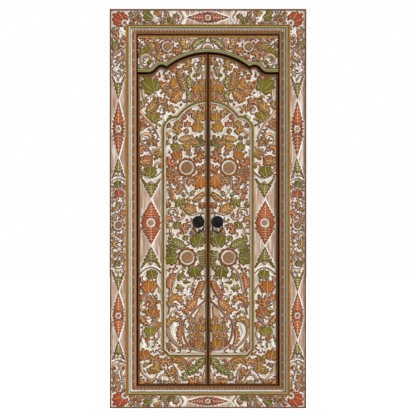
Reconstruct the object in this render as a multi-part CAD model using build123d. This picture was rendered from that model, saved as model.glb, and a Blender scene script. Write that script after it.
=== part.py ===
"""Carved double temple door in its frame: two pivot-hung leaves, a cusped transom and mitred mouldings.

Millimetres. The front faces -Y, +Z is up, and the origin is the middle of the sill's bottom face, on the
plane of the leaves' rebated edges. Every carved layout is drawn for the left half and mirrored for the right.
"""
from build123d import *
import math
import os

# Overall
overall_height = 2200.0
overall_width = 1083.0
half_width = overall_width / 2
wall_lap = 40.0

# Carved casing boards
side_border = 100.0
top_border = 90.0
bottom_border = 76.0
outer_fillet = 8.0
inner_fillet_side = 11.0
inner_fillet_rail = 5.0
board_thick = 24.0
casing_relief = 7.0

# Mouldings inside the boards
bead_width = 16.0
cove_width = 10.0
moulding_back_step = 8.0
bead_rise = 20.0
bead_foot = 8.0
cove_foot = 12.0
rope_width = 7.0
tan_width = 14.0
sight_thick = 12.0
tan_drop = 4.0

# Frame members
stop_thick = 20.0
stop_clearance = 2.0
frame_depth = 62.0
jamb_clearance = 22.0
sill_clearance = 4.0
head_clearance = 4.0
tenon_length = 40.0
tenon_thick = 30.0
tenon_height = 60.0
tenon_inset = 20.0
peg_radius = 6.0
peg_length = 54.0
peg_clearance = 0.1
fixing_hole_radius = 5.5
fixing_hole_back = 30.0
fixing_end = 250.0
fixing_rows = 4

# Leaves
lip_thick = 34.0
axis_back = 9.0
axis_inset = 15.5
lip_over_arch = 11.0
lip_overlap_sill = 20.0
field_rise = 18.0
field_relief = 8.0
field_gap = 6.5
sill_gap = 4.0
meeting_gap = 1.6
meeting_lean = 0.055
meeting_slot = 5.8
edge_strip = 11.0
foot_strip = 6.0

# Transom and its arch
transom_proud = 4.0
transom_relief = 8.0
transom_tongue = 8.0
tongue_thick = 6.0
tongue_back = 6.0
transom_edge = 7.0
transom_strip = 10.0
arch_gap = 9.0
arch_width = 22.0
arch_rise = 16.0
arch_drop = 89.0
arch_radius = 382.0
arch_reach = 230.0
shoulder_x = 256.0
shoulder_drop = 122.0
shoulder_radius = 52.0
haunch_radius = 40.0
haunch_drop = 111.0
rosette_radius = 38.0

# Arched panel border on the leaves
panel_half_width = 244.0
panel_foot_rise = 162.0
panel_chamfer = 32.0
panel_spring_drop = 155.0
panel_shoulder_radius = 66.0
panel_crown_drop = 281.0
panel_arch_radius = 199.0
panel_cusp = 165.0
panel_band = 12.0
panel_fillet = 7.0
panel_fillet_rise = 5.0

# Pivots
pin_radius = 5.5
pin_in_leaf = 40.0
pin_play = 0.08
pin_end_play = 0.2
cup_radius = 10.0
cup_depth = 18.0
cup_floor = 4.0
cup_seat_clearance = 0.05

# Ring pulls
pull_height = 1027.0
pull_inset = 52.5
plate_radius = 32.5
plate_thick = 2.5
plate_boss_radius = 12.0
plate_boss_rise = 4.0
seat_margin = 1.5
ring_radius = 28.5
ring_wire = 3.0
ring_play = 0.4
eye_wire = 2.2
shank_radius = 3.0
shank_clearance = 0.1
eye_stand_off = 0.4
washer_radius = 12.0
washer_thick = 2.0
rivet_radius = 5.5
rivet_rise = 2.0

# How far a cut runs past a face, and how far a raised part is sunk into what carries it
cut_margin = 1.0
sink = 1.0

# Depths
stop_back_y = -stop_clearance
board_back_y = stop_back_y - stop_thick
board_front_y = board_back_y - board_thick
casing_ground_y = board_front_y + casing_relief
frame_back_y = stop_back_y + frame_depth
field_front_y = -field_rise
field_ground_y = field_front_y + field_relief
transom_front_y = board_back_y - transom_proud
transom_ground_y = transom_front_y + transom_relief
tongue_near_y = stop_back_y - tongue_back - tongue_thick

# Rectangles round the door, each as half width, lowest and highest height
board_outer = (half_width, 0.0, overall_height)
board_inner = (half_width - side_border, bottom_border, overall_height - top_border)


def inset(rectangle, side, rail):
    """The rectangle moved inwards by side at its sides and by rail at its top and bottom."""
    return (rectangle[0] - side, rectangle[1] + rail, rectangle[2] - rail)


carving_outer = inset(board_outer, outer_fillet, outer_fillet)
carving_inner = inset(board_inner, -inner_fillet_side, -inner_fillet_rail)
moulding_inner = inset(board_inner, bead_width + cove_width, bead_width + cove_width)
sight = inset(moulding_inner, rope_width + tan_width, rope_width + tan_width)

# Places that the leaves and the frame share
frame_outer_x = half_width - wall_lap
frame_top_z = overall_height - wall_lap
axis_x = sight[0] + axis_inset
lip_outer_x = axis_x + axis_back
jamb_rear_x = lip_outer_x + jamb_clearance
lip_foot_z = sight[1] - lip_overlap_sill
sill_top_z = lip_foot_z - sill_clearance
arch_crown = sight[2] - arch_drop
lip_top_z = arch_crown + lip_over_arch
head_foot_z = lip_top_z + head_clearance
field_outer_x = sight[0] - field_gap
field_foot_z = sight[1] + sill_gap
panel_foot = field_foot_z + panel_foot_rise
panel_crown = arch_crown - panel_crown_drop
panel_spring = panel_crown - panel_spring_drop
slot_half = meeting_slot / 2
eye_mean = ring_wire + ring_play + eye_wire
plate_front_y = field_front_y - plate_thick
eye_y = plate_front_y - plate_boss_rise - eye_mean - eye_wire - eye_stand_off

# The carving was drawn on a door of these sizes, from a line this far off the middle
drawn_height = 2200.0
drawn_shift = 2.5
drawn_field_width = 388.0
drawn_field_foot = 127.0
drawn_arch_crown = 1974.0
drawn_jamb_width = 81.0
drawn_jamb_middle = -493.0
drawn_rail_half = 541.5
drawn_rail_height = 77.0


def arc_points(cx, cz, radius, start, end, steps):
    """Points on a circle in the XZ plane from one angle to the other, in degrees."""
    angles = [math.radians(start + (end - start) * i / steps) for i in range(steps + 1)]
    return [(cx + radius * math.cos(a), cz + radius * math.sin(a)) for a in angles]


def shifted(path, distance):
    """The open path moved to its left by distance, with mitred corners."""
    moved = []
    for i, (x, z) in enumerate(path):
        ax, az = path[max(i - 1, 0)]
        bx, bz = path[min(i + 1, len(path) - 1)]
        before = math.atan2(z - az, x - ax) if i else math.atan2(bz - z, bx - x)
        after = math.atan2(bz - z, bx - x) if i < len(path) - 1 else before
        turn = (after - before + math.pi) % (2 * math.pi) - math.pi
        normal = before + turn / 2 + math.pi / 2
        reach = distance / math.cos(turn / 2)
        moved.append((x + reach * math.cos(normal), z + reach * math.sin(normal)))
    return moved


def ended(path, first_x, last_x):
    """The path with its first and last points slid along their segments to the given x."""
    (ax, az), (bx, bz) = path[0], path[1]
    (cx, cz), (dx, dz) = path[-2], path[-1]
    first = (first_x, az + (first_x - ax) * (bz - az) / (bx - ax))
    last = (last_x, dz + (last_x - dx) * (dz - cz) / (dx - cx))
    return [first] + path[1:-1] + [last]


def arch_path():
    """The right half of the transom's arch line, from the crown out to the jamb."""
    crown_cz = arch_crown - arch_radius
    crown_end = math.degrees(math.acos(arch_reach / arch_radius))
    shoulder_cz = arch_crown - shoulder_drop
    haunch_cz = arch_crown - haunch_drop + haunch_radius
    apart = shoulder_radius + haunch_radius
    rise = haunch_cz - shoulder_cz
    haunch_cx = shoulder_x + math.sqrt(apart**2 - rise**2)
    meet = math.degrees(math.asin(rise / apart))
    cusp_x = arch_reach - shoulder_x
    cusp = math.degrees(math.acos(cusp_x / shoulder_radius))
    crown = arc_points(0.0, crown_cz, arch_radius, 90.0, crown_end, 9)
    shoulder = arc_points(shoulder_x, shoulder_cz, shoulder_radius, cusp, meet, 5)
    haunch = arc_points(haunch_cx, haunch_cz, haunch_radius, 180.0 + meet, 270.0, 4)
    return crown + shoulder[1:] + haunch[1:] + [(sight[0], haunch_cz - haunch_radius)]


def arch_line(distance, first_x, last_x):
    """The right half of the arch line raised by distance and cut off at both ends."""
    return ended(shifted(arch_path(), distance), first_x, last_x)


def panel_path():
    """The right half of the leaves' panel border, from the foot round to the crown."""
    shoulder_cx = panel_half_width - panel_shoulder_radius
    cusp = math.degrees(math.acos((panel_cusp - shoulder_cx) / panel_shoulder_radius))
    crown_cz = panel_crown - panel_arch_radius
    crown_start = math.degrees(math.acos(panel_cusp / panel_arch_radius))
    foot = [(slot_half + edge_strip, panel_foot), (panel_half_width - panel_chamfer, panel_foot)]
    side = [(panel_half_width, panel_foot + panel_chamfer)]
    shoulder = arc_points(shoulder_cx, panel_spring, panel_shoulder_radius, 0.0, cusp, 6)
    crown = arc_points(0.0, crown_cz, panel_arch_radius, crown_start, 90.0, 8)
    return foot + side + shoulder + crown[1:]


def panel_line(distance):
    """The panel border's line moved inwards by distance, ending on the meeting strip."""
    x = slot_half + edge_strip
    return ended(shifted(panel_path(), distance), x, x)


# Outlines of the carved motifs, each a list of points
def turned(points, x, z, angle):
    """Points turned by angle in degrees and moved to (x, z)."""
    c, s = math.cos(math.radians(angle)), math.sin(math.radians(angle))
    return [(x + u * c - v * s, z + u * s + v * c) for u, v in points]


def lobed(x, z, radius, angle, lobes=5):
    """A leaf with rounded lobes fanned about its tip, which points along angle."""
    points = [(-0.55 * radius, -0.16 * radius), (-0.55 * radius, 0.16 * radius)]
    spread = 125.0
    for i in range(lobes):
        a = math.radians(spread - 2 * spread * i / (lobes - 1))
        reach = radius * (1.0 - 0.28 * abs(math.sin(a)))
        points.append((reach * math.cos(a), reach * math.sin(a)))
        if i < lobes - 1:
            b = math.radians(spread - 2 * spread * (i + 0.5) / (lobes - 1))
            points.append((0.55 * radius * math.cos(b), 0.55 * radius * math.sin(b)))
    return turned(points, x, z, angle)


def serrated(x, z, length, width, angle, teeth=2):
    """A pointed leaf with saw teeth, centred on (x, z), with its tip along angle."""
    upper = []
    for i in range(1, 2 * teeth):
        t = i / (2 * teeth)
        reach = width / 2 * math.sin(math.pi * t**0.8)
        upper.append(((t - 0.5) * length, reach * (1.0 if i % 2 else 0.68)))
    lower = [(u, -v) for u, v in reversed(upper)]
    return turned([(-0.5 * length, 0.0)] + upper + [(0.5 * length, 0.0)] + lower, x, z, angle)


def drop(x, z, length, width, angle):
    """A bud: round behind and pointed in front."""
    shape = [(-0.5, 0.0), (-0.25, 0.45), (0.15, 0.4), (0.5, 0.0), (0.15, -0.4), (-0.25, -0.45)]
    return turned([(u * length, v * width) for u, v in shape], x, z, angle)


def curl(x, z, radius, start, end, width, steps=5):
    """A C scroll: a stroke that thins to a point at its start and winds in a little at its end."""
    outer, inner = [], []
    for i in range(steps + 1):
        t = i / steps
        a = math.radians(start + (end - start) * t)
        r = radius * (1.0 - 0.25 * t)
        half = width / 2 * min(1.0, 0.15 + 1.6 * t)
        outer.append((x + (r + half) * math.cos(a), z + (r + half) * math.sin(a)))
        inner.append((x + (r - half) * math.cos(a), z + (r - half) * math.sin(a)))
    return outer + inner[::-1]


def stem(width, *path):
    """A stroke along the path that thins towards its end."""
    left = shifted(list(path), width / 2)
    right = shifted(list(path), -width / 2)
    return left[:-1] + [path[-1]] + right[:-1][::-1]


def scalloped(x, z, radius, petals=8):
    """A flower's outline: rounded petals with notches between them."""
    points = []
    for i in range(petals):
        for off, reach in ((-0.28, 1.0), (0.28, 1.0), (0.5, 0.74)):
            a = 2 * math.pi * (i + off) / petals
            points.append((x + reach * radius * math.cos(a), z + reach * radius * math.sin(a)))
    return points


def flower(x, z, radius, petals=8):
    """A flower: its petals and the disc in their middle."""
    return [scalloped(x, z, radius, petals), disc(x, z, 0.45 * radius, 8)]


def disc(x, z, radius, sides=12):
    """A round boss."""
    return arc_points(x, z, radius, 0.0, 360.0 - 360.0 / sides, sides - 1)


def scaled_triangle(x, apex_z, base_z, half):
    """A tall triangle of scales, with stepped sides."""
    rows = 3
    side = []
    for i in range(rows):
        t0, t1 = i / rows, (i + 1) / rows
        side.append((x + half * t1, apex_z + (base_z - apex_z) * (t0 + 0.35 / rows)))
        side.append((x + half * t1 * 0.86, apex_z + (base_z - apex_z) * t1))
    return [(x, apex_z)] + side + [(2 * x - u, v) for u, v in reversed(side)]


def arch_band(x, z, half, rise, width):
    """A band bowed up by rise, or down where rise is negative."""
    line = [(x + half * t, z + rise * (1.0 - t * t)) for t in (-1.0, -0.45, 0.0, 0.45, 1.0)]
    return line + [(u, v - width) for u, v in reversed(line)]


def lozenge(x, z, half_x, half_z):
    """A serrated leaf up and one down, a small leaf at each side, and an eye, laid out as a lozenge."""
    parts = [disc(x, z, 0.33 * half_x, 8)]
    for way in (1, -1):
        parts.append(serrated(x, z + way * 0.61 * half_z, 0.74 * half_z, 1.25 * half_x, way * 90, 3))
        parts.append(serrated(x + way * 0.78 * half_x, z, 0.46 * half_z, 0.44 * half_x, 90, 1))
    return parts


# The leaves' carving, drawn on the left leaf: x is negative, angles turn anticlockwise from the right
def leaf_strip():
    """The upright strip between the hanging edge and the panel border."""
    return [
        lobed(-343, 150, 24, 200, 3),
        curl(-312, 205, 50, 150, 330, 15),
        lobed(-303, 236, 32, 60),
        lobed(-350, 285, 27, 100),
        disc(-300, 335, 9, 6),
        disc(-266, 335, 9, 6),
        curl(-312, 408, 52, -75, 235, 11, 7),
        lobed(-316, 422, 27, 90),
        serrated(-350, 478, 56, 22, 230),
        lobed(-303, 523, 25, 50),
        lobed(-327, 578, 27, 110),
        curl(-352, 540, 17, 60, 300, 9, 4),
        drop(-281, 605, 34, 15, 60),
        lobed(-326, 664, 32, 90),
        drop(-283, 699, 30, 16, 75),
        lobed(-306, 732, 24, 100, 3),
        arch_band(-312, 745, 57, 37, 12),
        disc(-312, 793, 11, 8),
        scaled_triangle(-312, 893, 812, 44),
        *lozenge(-313, 1022, 54, 118),
        scaled_triangle(-312, 1158, 1236, 44),
        arch_band(-312, 1302, 58, -38, -12),
        lobed(-342, 1362, 30, 120),
        curl(-276, 1338, 17, 200, -40, 9, 4),
        lobed(-275, 1409, 24, 200, 3),
        lobed(-352, 1424, 22, 60, 3),
        curl(-338, 1486, 33, 260, -40, 11, 7),
        drop(-305, 1458, 34, 18, 20),
        lobed(-352, 1572, 24, 200, 3),
        lobed(-304, 1604, 30, 70),
        stem(11, (-371, 1640), (-342, 1600), (-318, 1578)),
        drop(-262, 1597, 26, 18, 180),
    ]


def leaf_foot():
    """The field under the panel border."""
    return [
        curl(-228, 150, 30, -20, 170, 12),
        lobed(-182, 160, 24, 90, 3),
        curl(-178, 225, 46, -40, 130, 16),
        lobed(-226, 232, 28, 150),
        lobed(-196, 202, 18, 230, 3),
        curl(-84, 244, 30, 20, 200, 11),
        serrated(-58, 208, 104, 34, 215, 3),
        serrated(-122, 172, 60, 28, 255),
        serrated(-36, 182, 54, 30, 90),
        lobed(-75, 158, 20, 250, 3),
    ]


def leaf_panel():
    """The tall arched panel."""
    return [
        # Vase at the foot, half on each leaf
        stem(12, (-18, 318), (-70, 325), (-104, 350), (-116, 385)),
        stem(11, (-127, 420), (-122, 455), (-120, 490), (-96, 512)),
        serrated(-92, 455, 90, 30, 95, 3),
        serrated(-50, 405, 86, 30, 70, 4),
        lobed(-86, 382, 22, 200),
        scaled_triangle(-42, 578, 512, 30),
        # Big scroll beside it
        curl(-158, 430, 60, 60, 262, 20, 8),
        lobed(-160, 484, 24, 20),
        lobed(-152, 424, 30, 80),
        drop(-138, 366, 34, 18, 280),
        stem(10, (-150, 316), (-190, 330), (-216, 356)),
        stem(14, (-132, 552), (-92, 566), (-62, 560), (-42, 598)),
        curl(-182, 514, 22, 200, 20, 11),
        lobed(-182, 595, 30, 120),
        lobed(-150, 570, 24, 20, 3),
        curl(-102, 596, 14, 0, 240, 8, 4),
        drop(-42, 664, 52, 18, 100),
        drop(-112, 694, 44, 22, 0),
        lobed(-148, 722, 20, 120, 3),
        lobed(-152, 664, 18, 240, 3),
        serrated(-202, 694, 76, 26, 95),
        # Lower flower and its leaves
        *flower(-112, 830, 55),
        lobed(-194, 825, 30, 180),
        lobed(-190, 882, 26, 160),
        serrated(-172, 920, 94, 24, 152, 3),
        lobed(-54, 920, 34, 100),
        serrated(-26, 950, 54, 18, 80),
        lobed(-36, 842, 24, 10, 3),
        lobed(-36, 792, 20, -20, 3),
        lobed(-72, 756, 28, 280),
        curl(-182, 978, 24, 100, 280, 9, 4),
        lobed(-116, 986, 22, 80, 3),
        curl(-152, 1068, 30, 190, 350, 10),
        drop(-140, 1072, 30, 20, 90),
        curl(-190, 1078, 26, 210, 30, 10),
        lobed(-98, 1100, 32, 150),
        stem(10, (-72, 1068), (-40, 1078), (-17, 1092)),
        lobed(-150, 1140, 22, 100, 3),
        lobed(-196, 1162, 26, 130),
        serrated(-44, 1172, 66, 26, 40),
        curl(-92, 1206, 26, 250, 50, 12),
        # Upper flower and its leaves
        *flower(-115, 1328, 55),
        lobed(-196, 1362, 24, 170, 3),
        lobed(-194, 1310, 24, 190, 3),
        lobed(-198, 1268, 22, 200, 3),
        lobed(-162, 1258, 24, 250),
        lobed(-44, 1272, 32, 270),
        drop(-90, 1250, 30, 16, 270),
        lobed(-32, 1332, 22, 0, 3),
        lobed(-60, 1394, 28, 60),
        lobed(-168, 1392, 26, 120),
        lobed(-46, 1462, 26, 110),
        curl(-140, 1436, 16, 0, 230, 9, 4),
        lobed(-92, 1448, 28, 60),
        serrated(-116, 1490, 84, 24, 12),
        curl(-198, 1510, 25, -10, 200, 10),
        lobed(-152, 1548, 26, 100),
        drop(-106, 1566, 34, 20, 70),
        lobed(-50, 1546, 26, 80),
        lobed(-44, 1608, 26, 100),
    ]


def leaf_crown():
    """The field over the panel's arch."""
    return [
        lobed(-350, 1828, 18, 120, 3),
        lobed(-312, 1778, 42, 120),
        curl(-316, 1714, 44, 150, 300, 13),
        lobed(-300, 1664, 28, 240),
        drop(-260, 1838, 34, 16, 90),
        lobed(-252, 1704, 22, 200, 3),
        lobed(-224, 1790, 32, 130),
        lobed(-212, 1744, 24, 200, 3),
        serrated(-152, 1820, 104, 34, 112, 3),
        serrated(-104, 1800, 66, 26, 80),
        serrated(-102, 1722, 60, 24, 100),
        serrated(-44, 1866, 64, 18, 60),
        drop(-30, 1826, 46, 18, 270),
        lobed(-50, 1760, 34, 270),
        curl(-172, 1646, 22, 30, 230, 9, 4),
        lobed(-122, 1902, 24, 60, 3),
        stem(10, (-64, 1872), (-76, 1900), (-62, 1926)),
        lobed(-34, 1920, 20, 60, 3),
        drop(-206, 1850, 30, 16, 110),
    ]


def transom_layout():
    """The carving over the arch, drawn on the left half."""
    return [
        *flower(-222, 1996, 37),
        lobed(-282, 1990, 26, 170),
        lobed(-166, 1992, 24, 20, 3),
        lobed(-256, 1944, 22, 230, 3),
        lobed(-350, 2030, 22, 120, 3),
        lobed(-352, 1956, 22, 120, 3),
        curl(-338, 1924, 32, 250, -20, 10, 7),
        serrated(-130, 2014, 74, 24, 115),
        lobed(-99, 2028, 20, 90, 3),
        serrated(-62, 2014, 76, 22, 50, 3),
    ]


def half_rosette(foot_z):
    """The rosette that rises behind the arch's crown, seen as its upper half."""
    petals = 7
    points = [(rosette_radius * 0.8, foot_z)]
    for i in range(petals):
        for t, reach in ((0.2, 1.0), (0.8, 1.0), (1.0, 0.84)):
            a = math.pi * (i + t) / petals
            r = rosette_radius * reach
            points.append((r * math.cos(a), foot_z + r * math.sin(a)))
    return points


def jamb_layout():
    """The carving of the left casing board, from the foot up."""
    return [
        lobed(-507, 112, 18, 250, 3),
        lobed(-505, 160, 20, 110, 3),
        curl(-506, 230, 19, 0, 250, 9, 4),
        arch_band(-492, 252, 36, 18, 9),
        scaled_triangle(-492, 378, 292, 30),
        *lozenge(-492, 512, 34, 124),
        scaled_triangle(-492, 646, 734, 30),
        arch_band(-492, 782, 36, -18, -9),
        lobed(-500, 798, 20, 90, 3),
        lobed(-502, 900, 22, 120),
        *flower(-492, 1010, 34, 6),
        drop(-492, 1078, 50, 14, 150),
        curl(-492, 1178, 33, -60, 220, 8, 7),
        lobed(-490, 1180, 22, 90),
        lobed(-492, 1234, 20, 100, 3),
        arch_band(-492, 1255, 36, 16, 9),
        scaled_triangle(-492, 1386, 1292, 30),
        *lozenge(-492, 1540, 34, 146),
        scaled_triangle(-492, 1698, 1792, 30),
        arch_band(-492, 1860, 36, -22, -9),
        serrated(-478, 1932, 46, 18, 20),
        lobed(-508, 2002, 24, 120),
        lobed(-507, 2056, 20, 90, 3),
    ]


def corner_flowers():
    """The flowers on the casing's mitres, which each board carves up to its own cut."""
    x = (carving_outer[0] + carving_inner[0]) / 2 - 14.0
    heights = [(carving_outer[i] + carving_inner[i]) / 2 for i in (1, 2)]
    flowers = []
    for side in (-1, 1):
        flowers.append(scalloped(side * x, heights[0] + 6.0, 27.0, 7))
        flowers.append(scalloped(side * x, heights[1] - 6.0, 30.0, 7))
    return flowers


def rail_layout():
    """The carving of the top casing board's left half, with heights from the middle of the carving."""
    return [
        lobed(-384, -4, 22, 30),
        lobed(-322, 6, 24, 150),
        stem(8, (-312, 30), (-290, 4), (-268, -26)),
        drop(-262, 18, 34, 16, 10),
        lobed(-232, 8, 20, 60, 3),
        lobed(-199, -12, 20, 240, 3),
        lobed(-172, 8, 17, 90, 3),
        stem(9, (-150, 34), (-130, 0), (-150, -34)),
        serrated(-82, 0, 74, 20, 0, 4),
    ]


# Solids
def prism(points, near_y, far_y):
    """The outline in the XZ plane, extruded from near_y to far_y."""
    face = Face(Wire.make_polygon([Vector(x, far_y, z) for x, z in points], close=True))
    depth = Vector(0, near_y - far_y, 0)
    return Solid.extrude(face, depth)


def middle_of(points):
    """The mean of an outline's points."""
    return sum(x for x, z in points) / len(points), sum(z for x, z in points) / len(points)


def seen_from_middle(points):
    """Whether every side of the outline can be seen from its middle, as a leaf's can and a scroll's can't."""
    cx, cz = middle_of(points)
    turns = []
    for (ax, az), (bx, bz) in zip(points, points[1:] + points[:1]):
        turns.append((ax - cx) * (bz - cz) - (bx - cx) * (az - cz))
    return min(turns) > 0 or max(turns) < 0


def raised(points, ground_y, top_y):
    """A carved motif, its foot sunk into the ground: leaves rise to a peak, scrolls have a flat top."""
    low = [Vector(x, ground_y + sink, z) for x, z in points]
    if not seen_from_middle(points):
        return Solid.extrude(Face(Wire.make_polygon(low, close=True)), Vector(0, top_y - ground_y - sink, 0))
    cx, cz = middle_of(points)
    peak = Vector(cx, top_y, cz)
    faces = [Face(Wire.make_polygon(low, close=True))]
    for start, end in zip(low, low[1:] + low[:1]):
        faces.append(Face(Wire.make_polygon([start, end, peak], close=True)))
    return Solid(Shell(faces))


def fused(base, extras):
    """The base with the extras joined to it, as one solid."""
    whole = base.fuse(*extras)
    solids = whole.solids()
    return max(solids, key=lambda s: s.volume)


def mirrored(points, side):
    """A layout outline drawn on the left half, put on the given side: -1 left, +1 right."""
    return [(-side * (x - drawn_shift), z) for x, z in points]


def on_field(points, side):
    """A leaf's outline, stretched from the drawn field to the real one and put on the given side."""
    kx = field_outer_x / drawn_field_width
    kz = (arch_crown - field_foot_z) / (drawn_arch_crown - drawn_field_foot)
    return [(x * kx, field_foot_z + (z - drawn_field_foot) * kz) for x, z in mirrored(points, side)]


def on_transom(points, side):
    """A transom outline, kept at its height over the arch and put on the given side."""
    kx = field_outer_x / drawn_field_width
    return [(x * kx, z + arch_crown - drawn_arch_crown) for x, z in mirrored(points, side)]


def box(x0, x1, y0, y1, z0, z1):
    """A block between two corners."""
    size = Box(abs(x1 - x0), abs(y1 - y0), abs(z1 - z0))
    return size.moved(Location(((x0 + x1) / 2, (y0 + y1) / 2, (z0 + z1) / 2))).solid()


def rod(x, y, z, radius, length, direction):
    """A round bar from a point along a direction."""
    plane = Plane(origin=(x, y, z), z_dir=direction)
    return Solid.make_cylinder(radius, length, plane)


def mitre(where, outer, inner):
    """The four corners of one mitred member between two rectangles."""
    (ox, ol, oh), (ix, il, ih) = outer, inner
    corners = {
        "left": [(-ox, ol), (-ix, il), (-ix, ih), (-ox, oh)],
        "right": [(ox, ol), (ox, oh), (ix, ih), (ix, il)],
        "top": [(-ox, oh), (-ix, ih), (ix, ih), (ox, oh)],
        "bottom": [(-ox, ol), (ox, ol), (ix, il), (-ix, il)],
    }
    return corners[where]


def run_of(where, profile, outer, inner):
    """A moulding of the given profile, mitred between two rectangles.

    The profile's points are (distance in from the outer rectangle, y), with arcs as three-point tuples.
    """
    lines = []
    for piece in profile:
        ends = [Vector(d, y, 0) for d, y in piece]
        lines.append(Edge.make_three_point_arc(*ends) if len(ends) == 3 else Edge.make_line(*ends))
    face = Face(Wire(lines))
    reach = overall_height
    if where in ("left", "right"):
        bar = Solid.extrude(face, Vector(0, 0, reach))
        if where == "right":
            bar = bar.mirror(Plane.YZ)
        bar = bar.moved(Location((-outer[0] if where == "left" else outer[0], 0, 0)))
    else:
        bar = Solid.extrude(face, Vector(0, 0, reach)).rotate(Axis.Y, -90)
        if where == "top":
            bar = bar.mirror(Plane.XY)
        bar = bar.moved(Location((reach / 2, 0, outer[1] if where == "bottom" else outer[2])))
    cutter = prism(mitre(where, outer, inner), board_front_y - bead_rise, frame_back_y)
    return (bar & cutter).solid()


# Casing
def casing_board(where, motifs):
    """One carved board: a plain back, a sunk ground between two fillets, and its motifs."""
    base = prism(mitre(where, board_outer, board_inner), casing_ground_y, board_back_y)
    edge = prism(mitre(where, board_outer, carving_outer), board_front_y, board_back_y)
    fillet = prism(mitre(where, carving_inner, board_inner), board_front_y, board_back_y)
    carved = [raised(m, casing_ground_y, board_front_y) for m in motifs]
    board = fused(base, [edge, fillet] + carved)
    within = prism(mitre(where, board_outer, board_inner), board_front_y - cut_margin, board_back_y)
    return (board & within).solid()


def jamb_motifs(side):
    """The jamb's layout stretched to the board's height and moved to its carving's middle."""
    kz = overall_height / drawn_height
    middle = -(carving_outer[0] + carving_inner[0]) / 2
    kx = (carving_outer[0] - carving_inner[0]) / drawn_jamb_width
    placed = []
    for motif in jamb_layout():
        points = [(middle + (x - drawn_jamb_middle) * kx, z * kz) for x, z in motif]
        placed.append([(-side * x, z) for x, z in points])
    return placed + corner_flowers()


def rail_motifs(middle_z, height, flip):
    """The rail's layout on both halves, with its corner flowers and the lozenge in the middle."""
    kx = half_width / drawn_rail_half
    kz = height / drawn_rail_height
    placed = []
    for side in (-1, 1):
        for motif in rail_layout():
            points = [(-side * x * kx, middle_z + flip * z * kz) for x, z in motif]
            placed.append(points)
    placed.append(scalloped(0.0, middle_z, 0.42 * height, 6))
    return placed + corner_flowers()


def bead_profile():
    """Half-round bead, then a cove that falls towards the opening."""
    back = board_back_y
    foot = board_front_y + bead_foot
    crown = foot - bead_rise + bead_foot
    low = foot + cove_foot
    width = bead_width + cove_width
    cove_mid = (bead_width + 0.4 * cove_width, foot + 0.62 * cove_foot)
    return [
        [(0, back), (0, foot)],
        [(0, foot), (bead_width / 2, crown), (bead_width, foot)],
        [(bead_width, foot), cove_mid, (width, low)],
        [(width, low), (width, back)],
        [(width, back), (0, back)],
    ]


def sight_profile():
    """Small bead, carved as a rope, and the flat that falls to the opening."""
    back = board_back_y
    front = back - sight_thick
    width = rope_width + tan_width
    return [
        [(0, back), (0, front)],
        [(0, front), (rope_width / 2, front - rope_width / 2), (rope_width, front)],
        [(rope_width, front), (width, front + tan_drop)],
        [(width, front + tan_drop), (width, back)],
        [(width, back), (0, back)],
    ]


# Frame
def tenons(foot_z, top_z):
    """The tenons at both ends of a cross member, centred between its faces."""
    middle = (foot_z + top_z) / 2
    y = frame_back_y / 2
    solids = []
    y0, y1 = y - tenon_thick / 2, y + tenon_thick / 2
    z0, z1 = middle - tenon_height / 2, middle + tenon_height / 2
    for side in (-1, 1):
        x0, x1 = side * jamb_rear_x, side * (jamb_rear_x + tenon_length)
        solids.append(box(x0, x1, y0, y1, z0, z1))
    return solids


def peg_holes(clearance):
    """The four pegs, or their holes with a clearance."""
    x = jamb_rear_x + tenon_length / 2
    heights = (sill_top_z / 2, (head_foot_z + frame_top_z) / 2)
    bars = []
    for side in (-1, 1):
        for z in heights:
            bars.append(rod(side * x, frame_back_y, z, peg_radius + clearance, peg_length, (0, -1, 0)))
    return bars


def cup_seats():
    """The four round recesses for the pivot cups."""
    depth = cup_depth + cup_floor
    seats = []
    for side in (-1, 1):
        x, r = side * axis_x, cup_radius + cup_seat_clearance
        seats.append(rod(x, axis_back, sill_top_z - depth, r, depth + cut_margin, (0, 0, 1)))
        seats.append(rod(x, axis_back, head_foot_z - cut_margin, r, depth + cut_margin, (0, 0, 1)))
    return seats


def transom_groove():
    """The groove for the transom's tongue: a slot over the opening, of which the frame takes the edges."""
    reach = sight[0] + transom_tongue
    foot = transom_foot()[0][1]
    return box(-reach, reach, tongue_near_y, tongue_near_y + tongue_thick, foot, sight[2] + transom_tongue)


def jamb(side):
    """A post with its front stop and rebate, mortised for the sill and the head."""
    plan = [
        (frame_outer_x, board_back_y),
        (sight[0], board_back_y),
        (sight[0], stop_back_y),
        (jamb_rear_x, stop_back_y),
        (jamb_rear_x, frame_back_y),
        (frame_outer_x, frame_back_y),
    ]
    face = Face(Wire.make_polygon([Vector(side * x, y, 0) for x, y in plan], close=True))
    post = Solid.extrude(face, Vector(0, 0, frame_top_z))
    cuts = tenons(0.0, sill_top_z) + tenons(head_foot_z, frame_top_z) + peg_holes(peg_clearance)
    cuts.append(transom_groove())
    pitch = (overall_height - 2 * fixing_end) / (fixing_rows - 1)
    start = side * (jamb_rear_x - cut_margin)
    length = frame_outer_x - jamb_rear_x + 2 * cut_margin
    for row in range(fixing_rows):
        z = fixing_end + row * pitch
        cuts.append(rod(start, fixing_hole_back, z, fixing_hole_radius, length, (side, 0, 0)))
    return post.cut(*cuts).solid()


def sill():
    """The bottom member: a stop in front, a lower tread behind, and tenons."""
    front = box(-sight[0], sight[0], board_back_y, stop_back_y, 0, sight[1])
    rear = box(-jamb_rear_x, jamb_rear_x, stop_back_y, frame_back_y, 0, sill_top_z)
    whole = fused(rear, [front] + tenons(0.0, sill_top_z))
    return whole.cut(*peg_holes(peg_clearance), *cup_seats()).solid()


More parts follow.
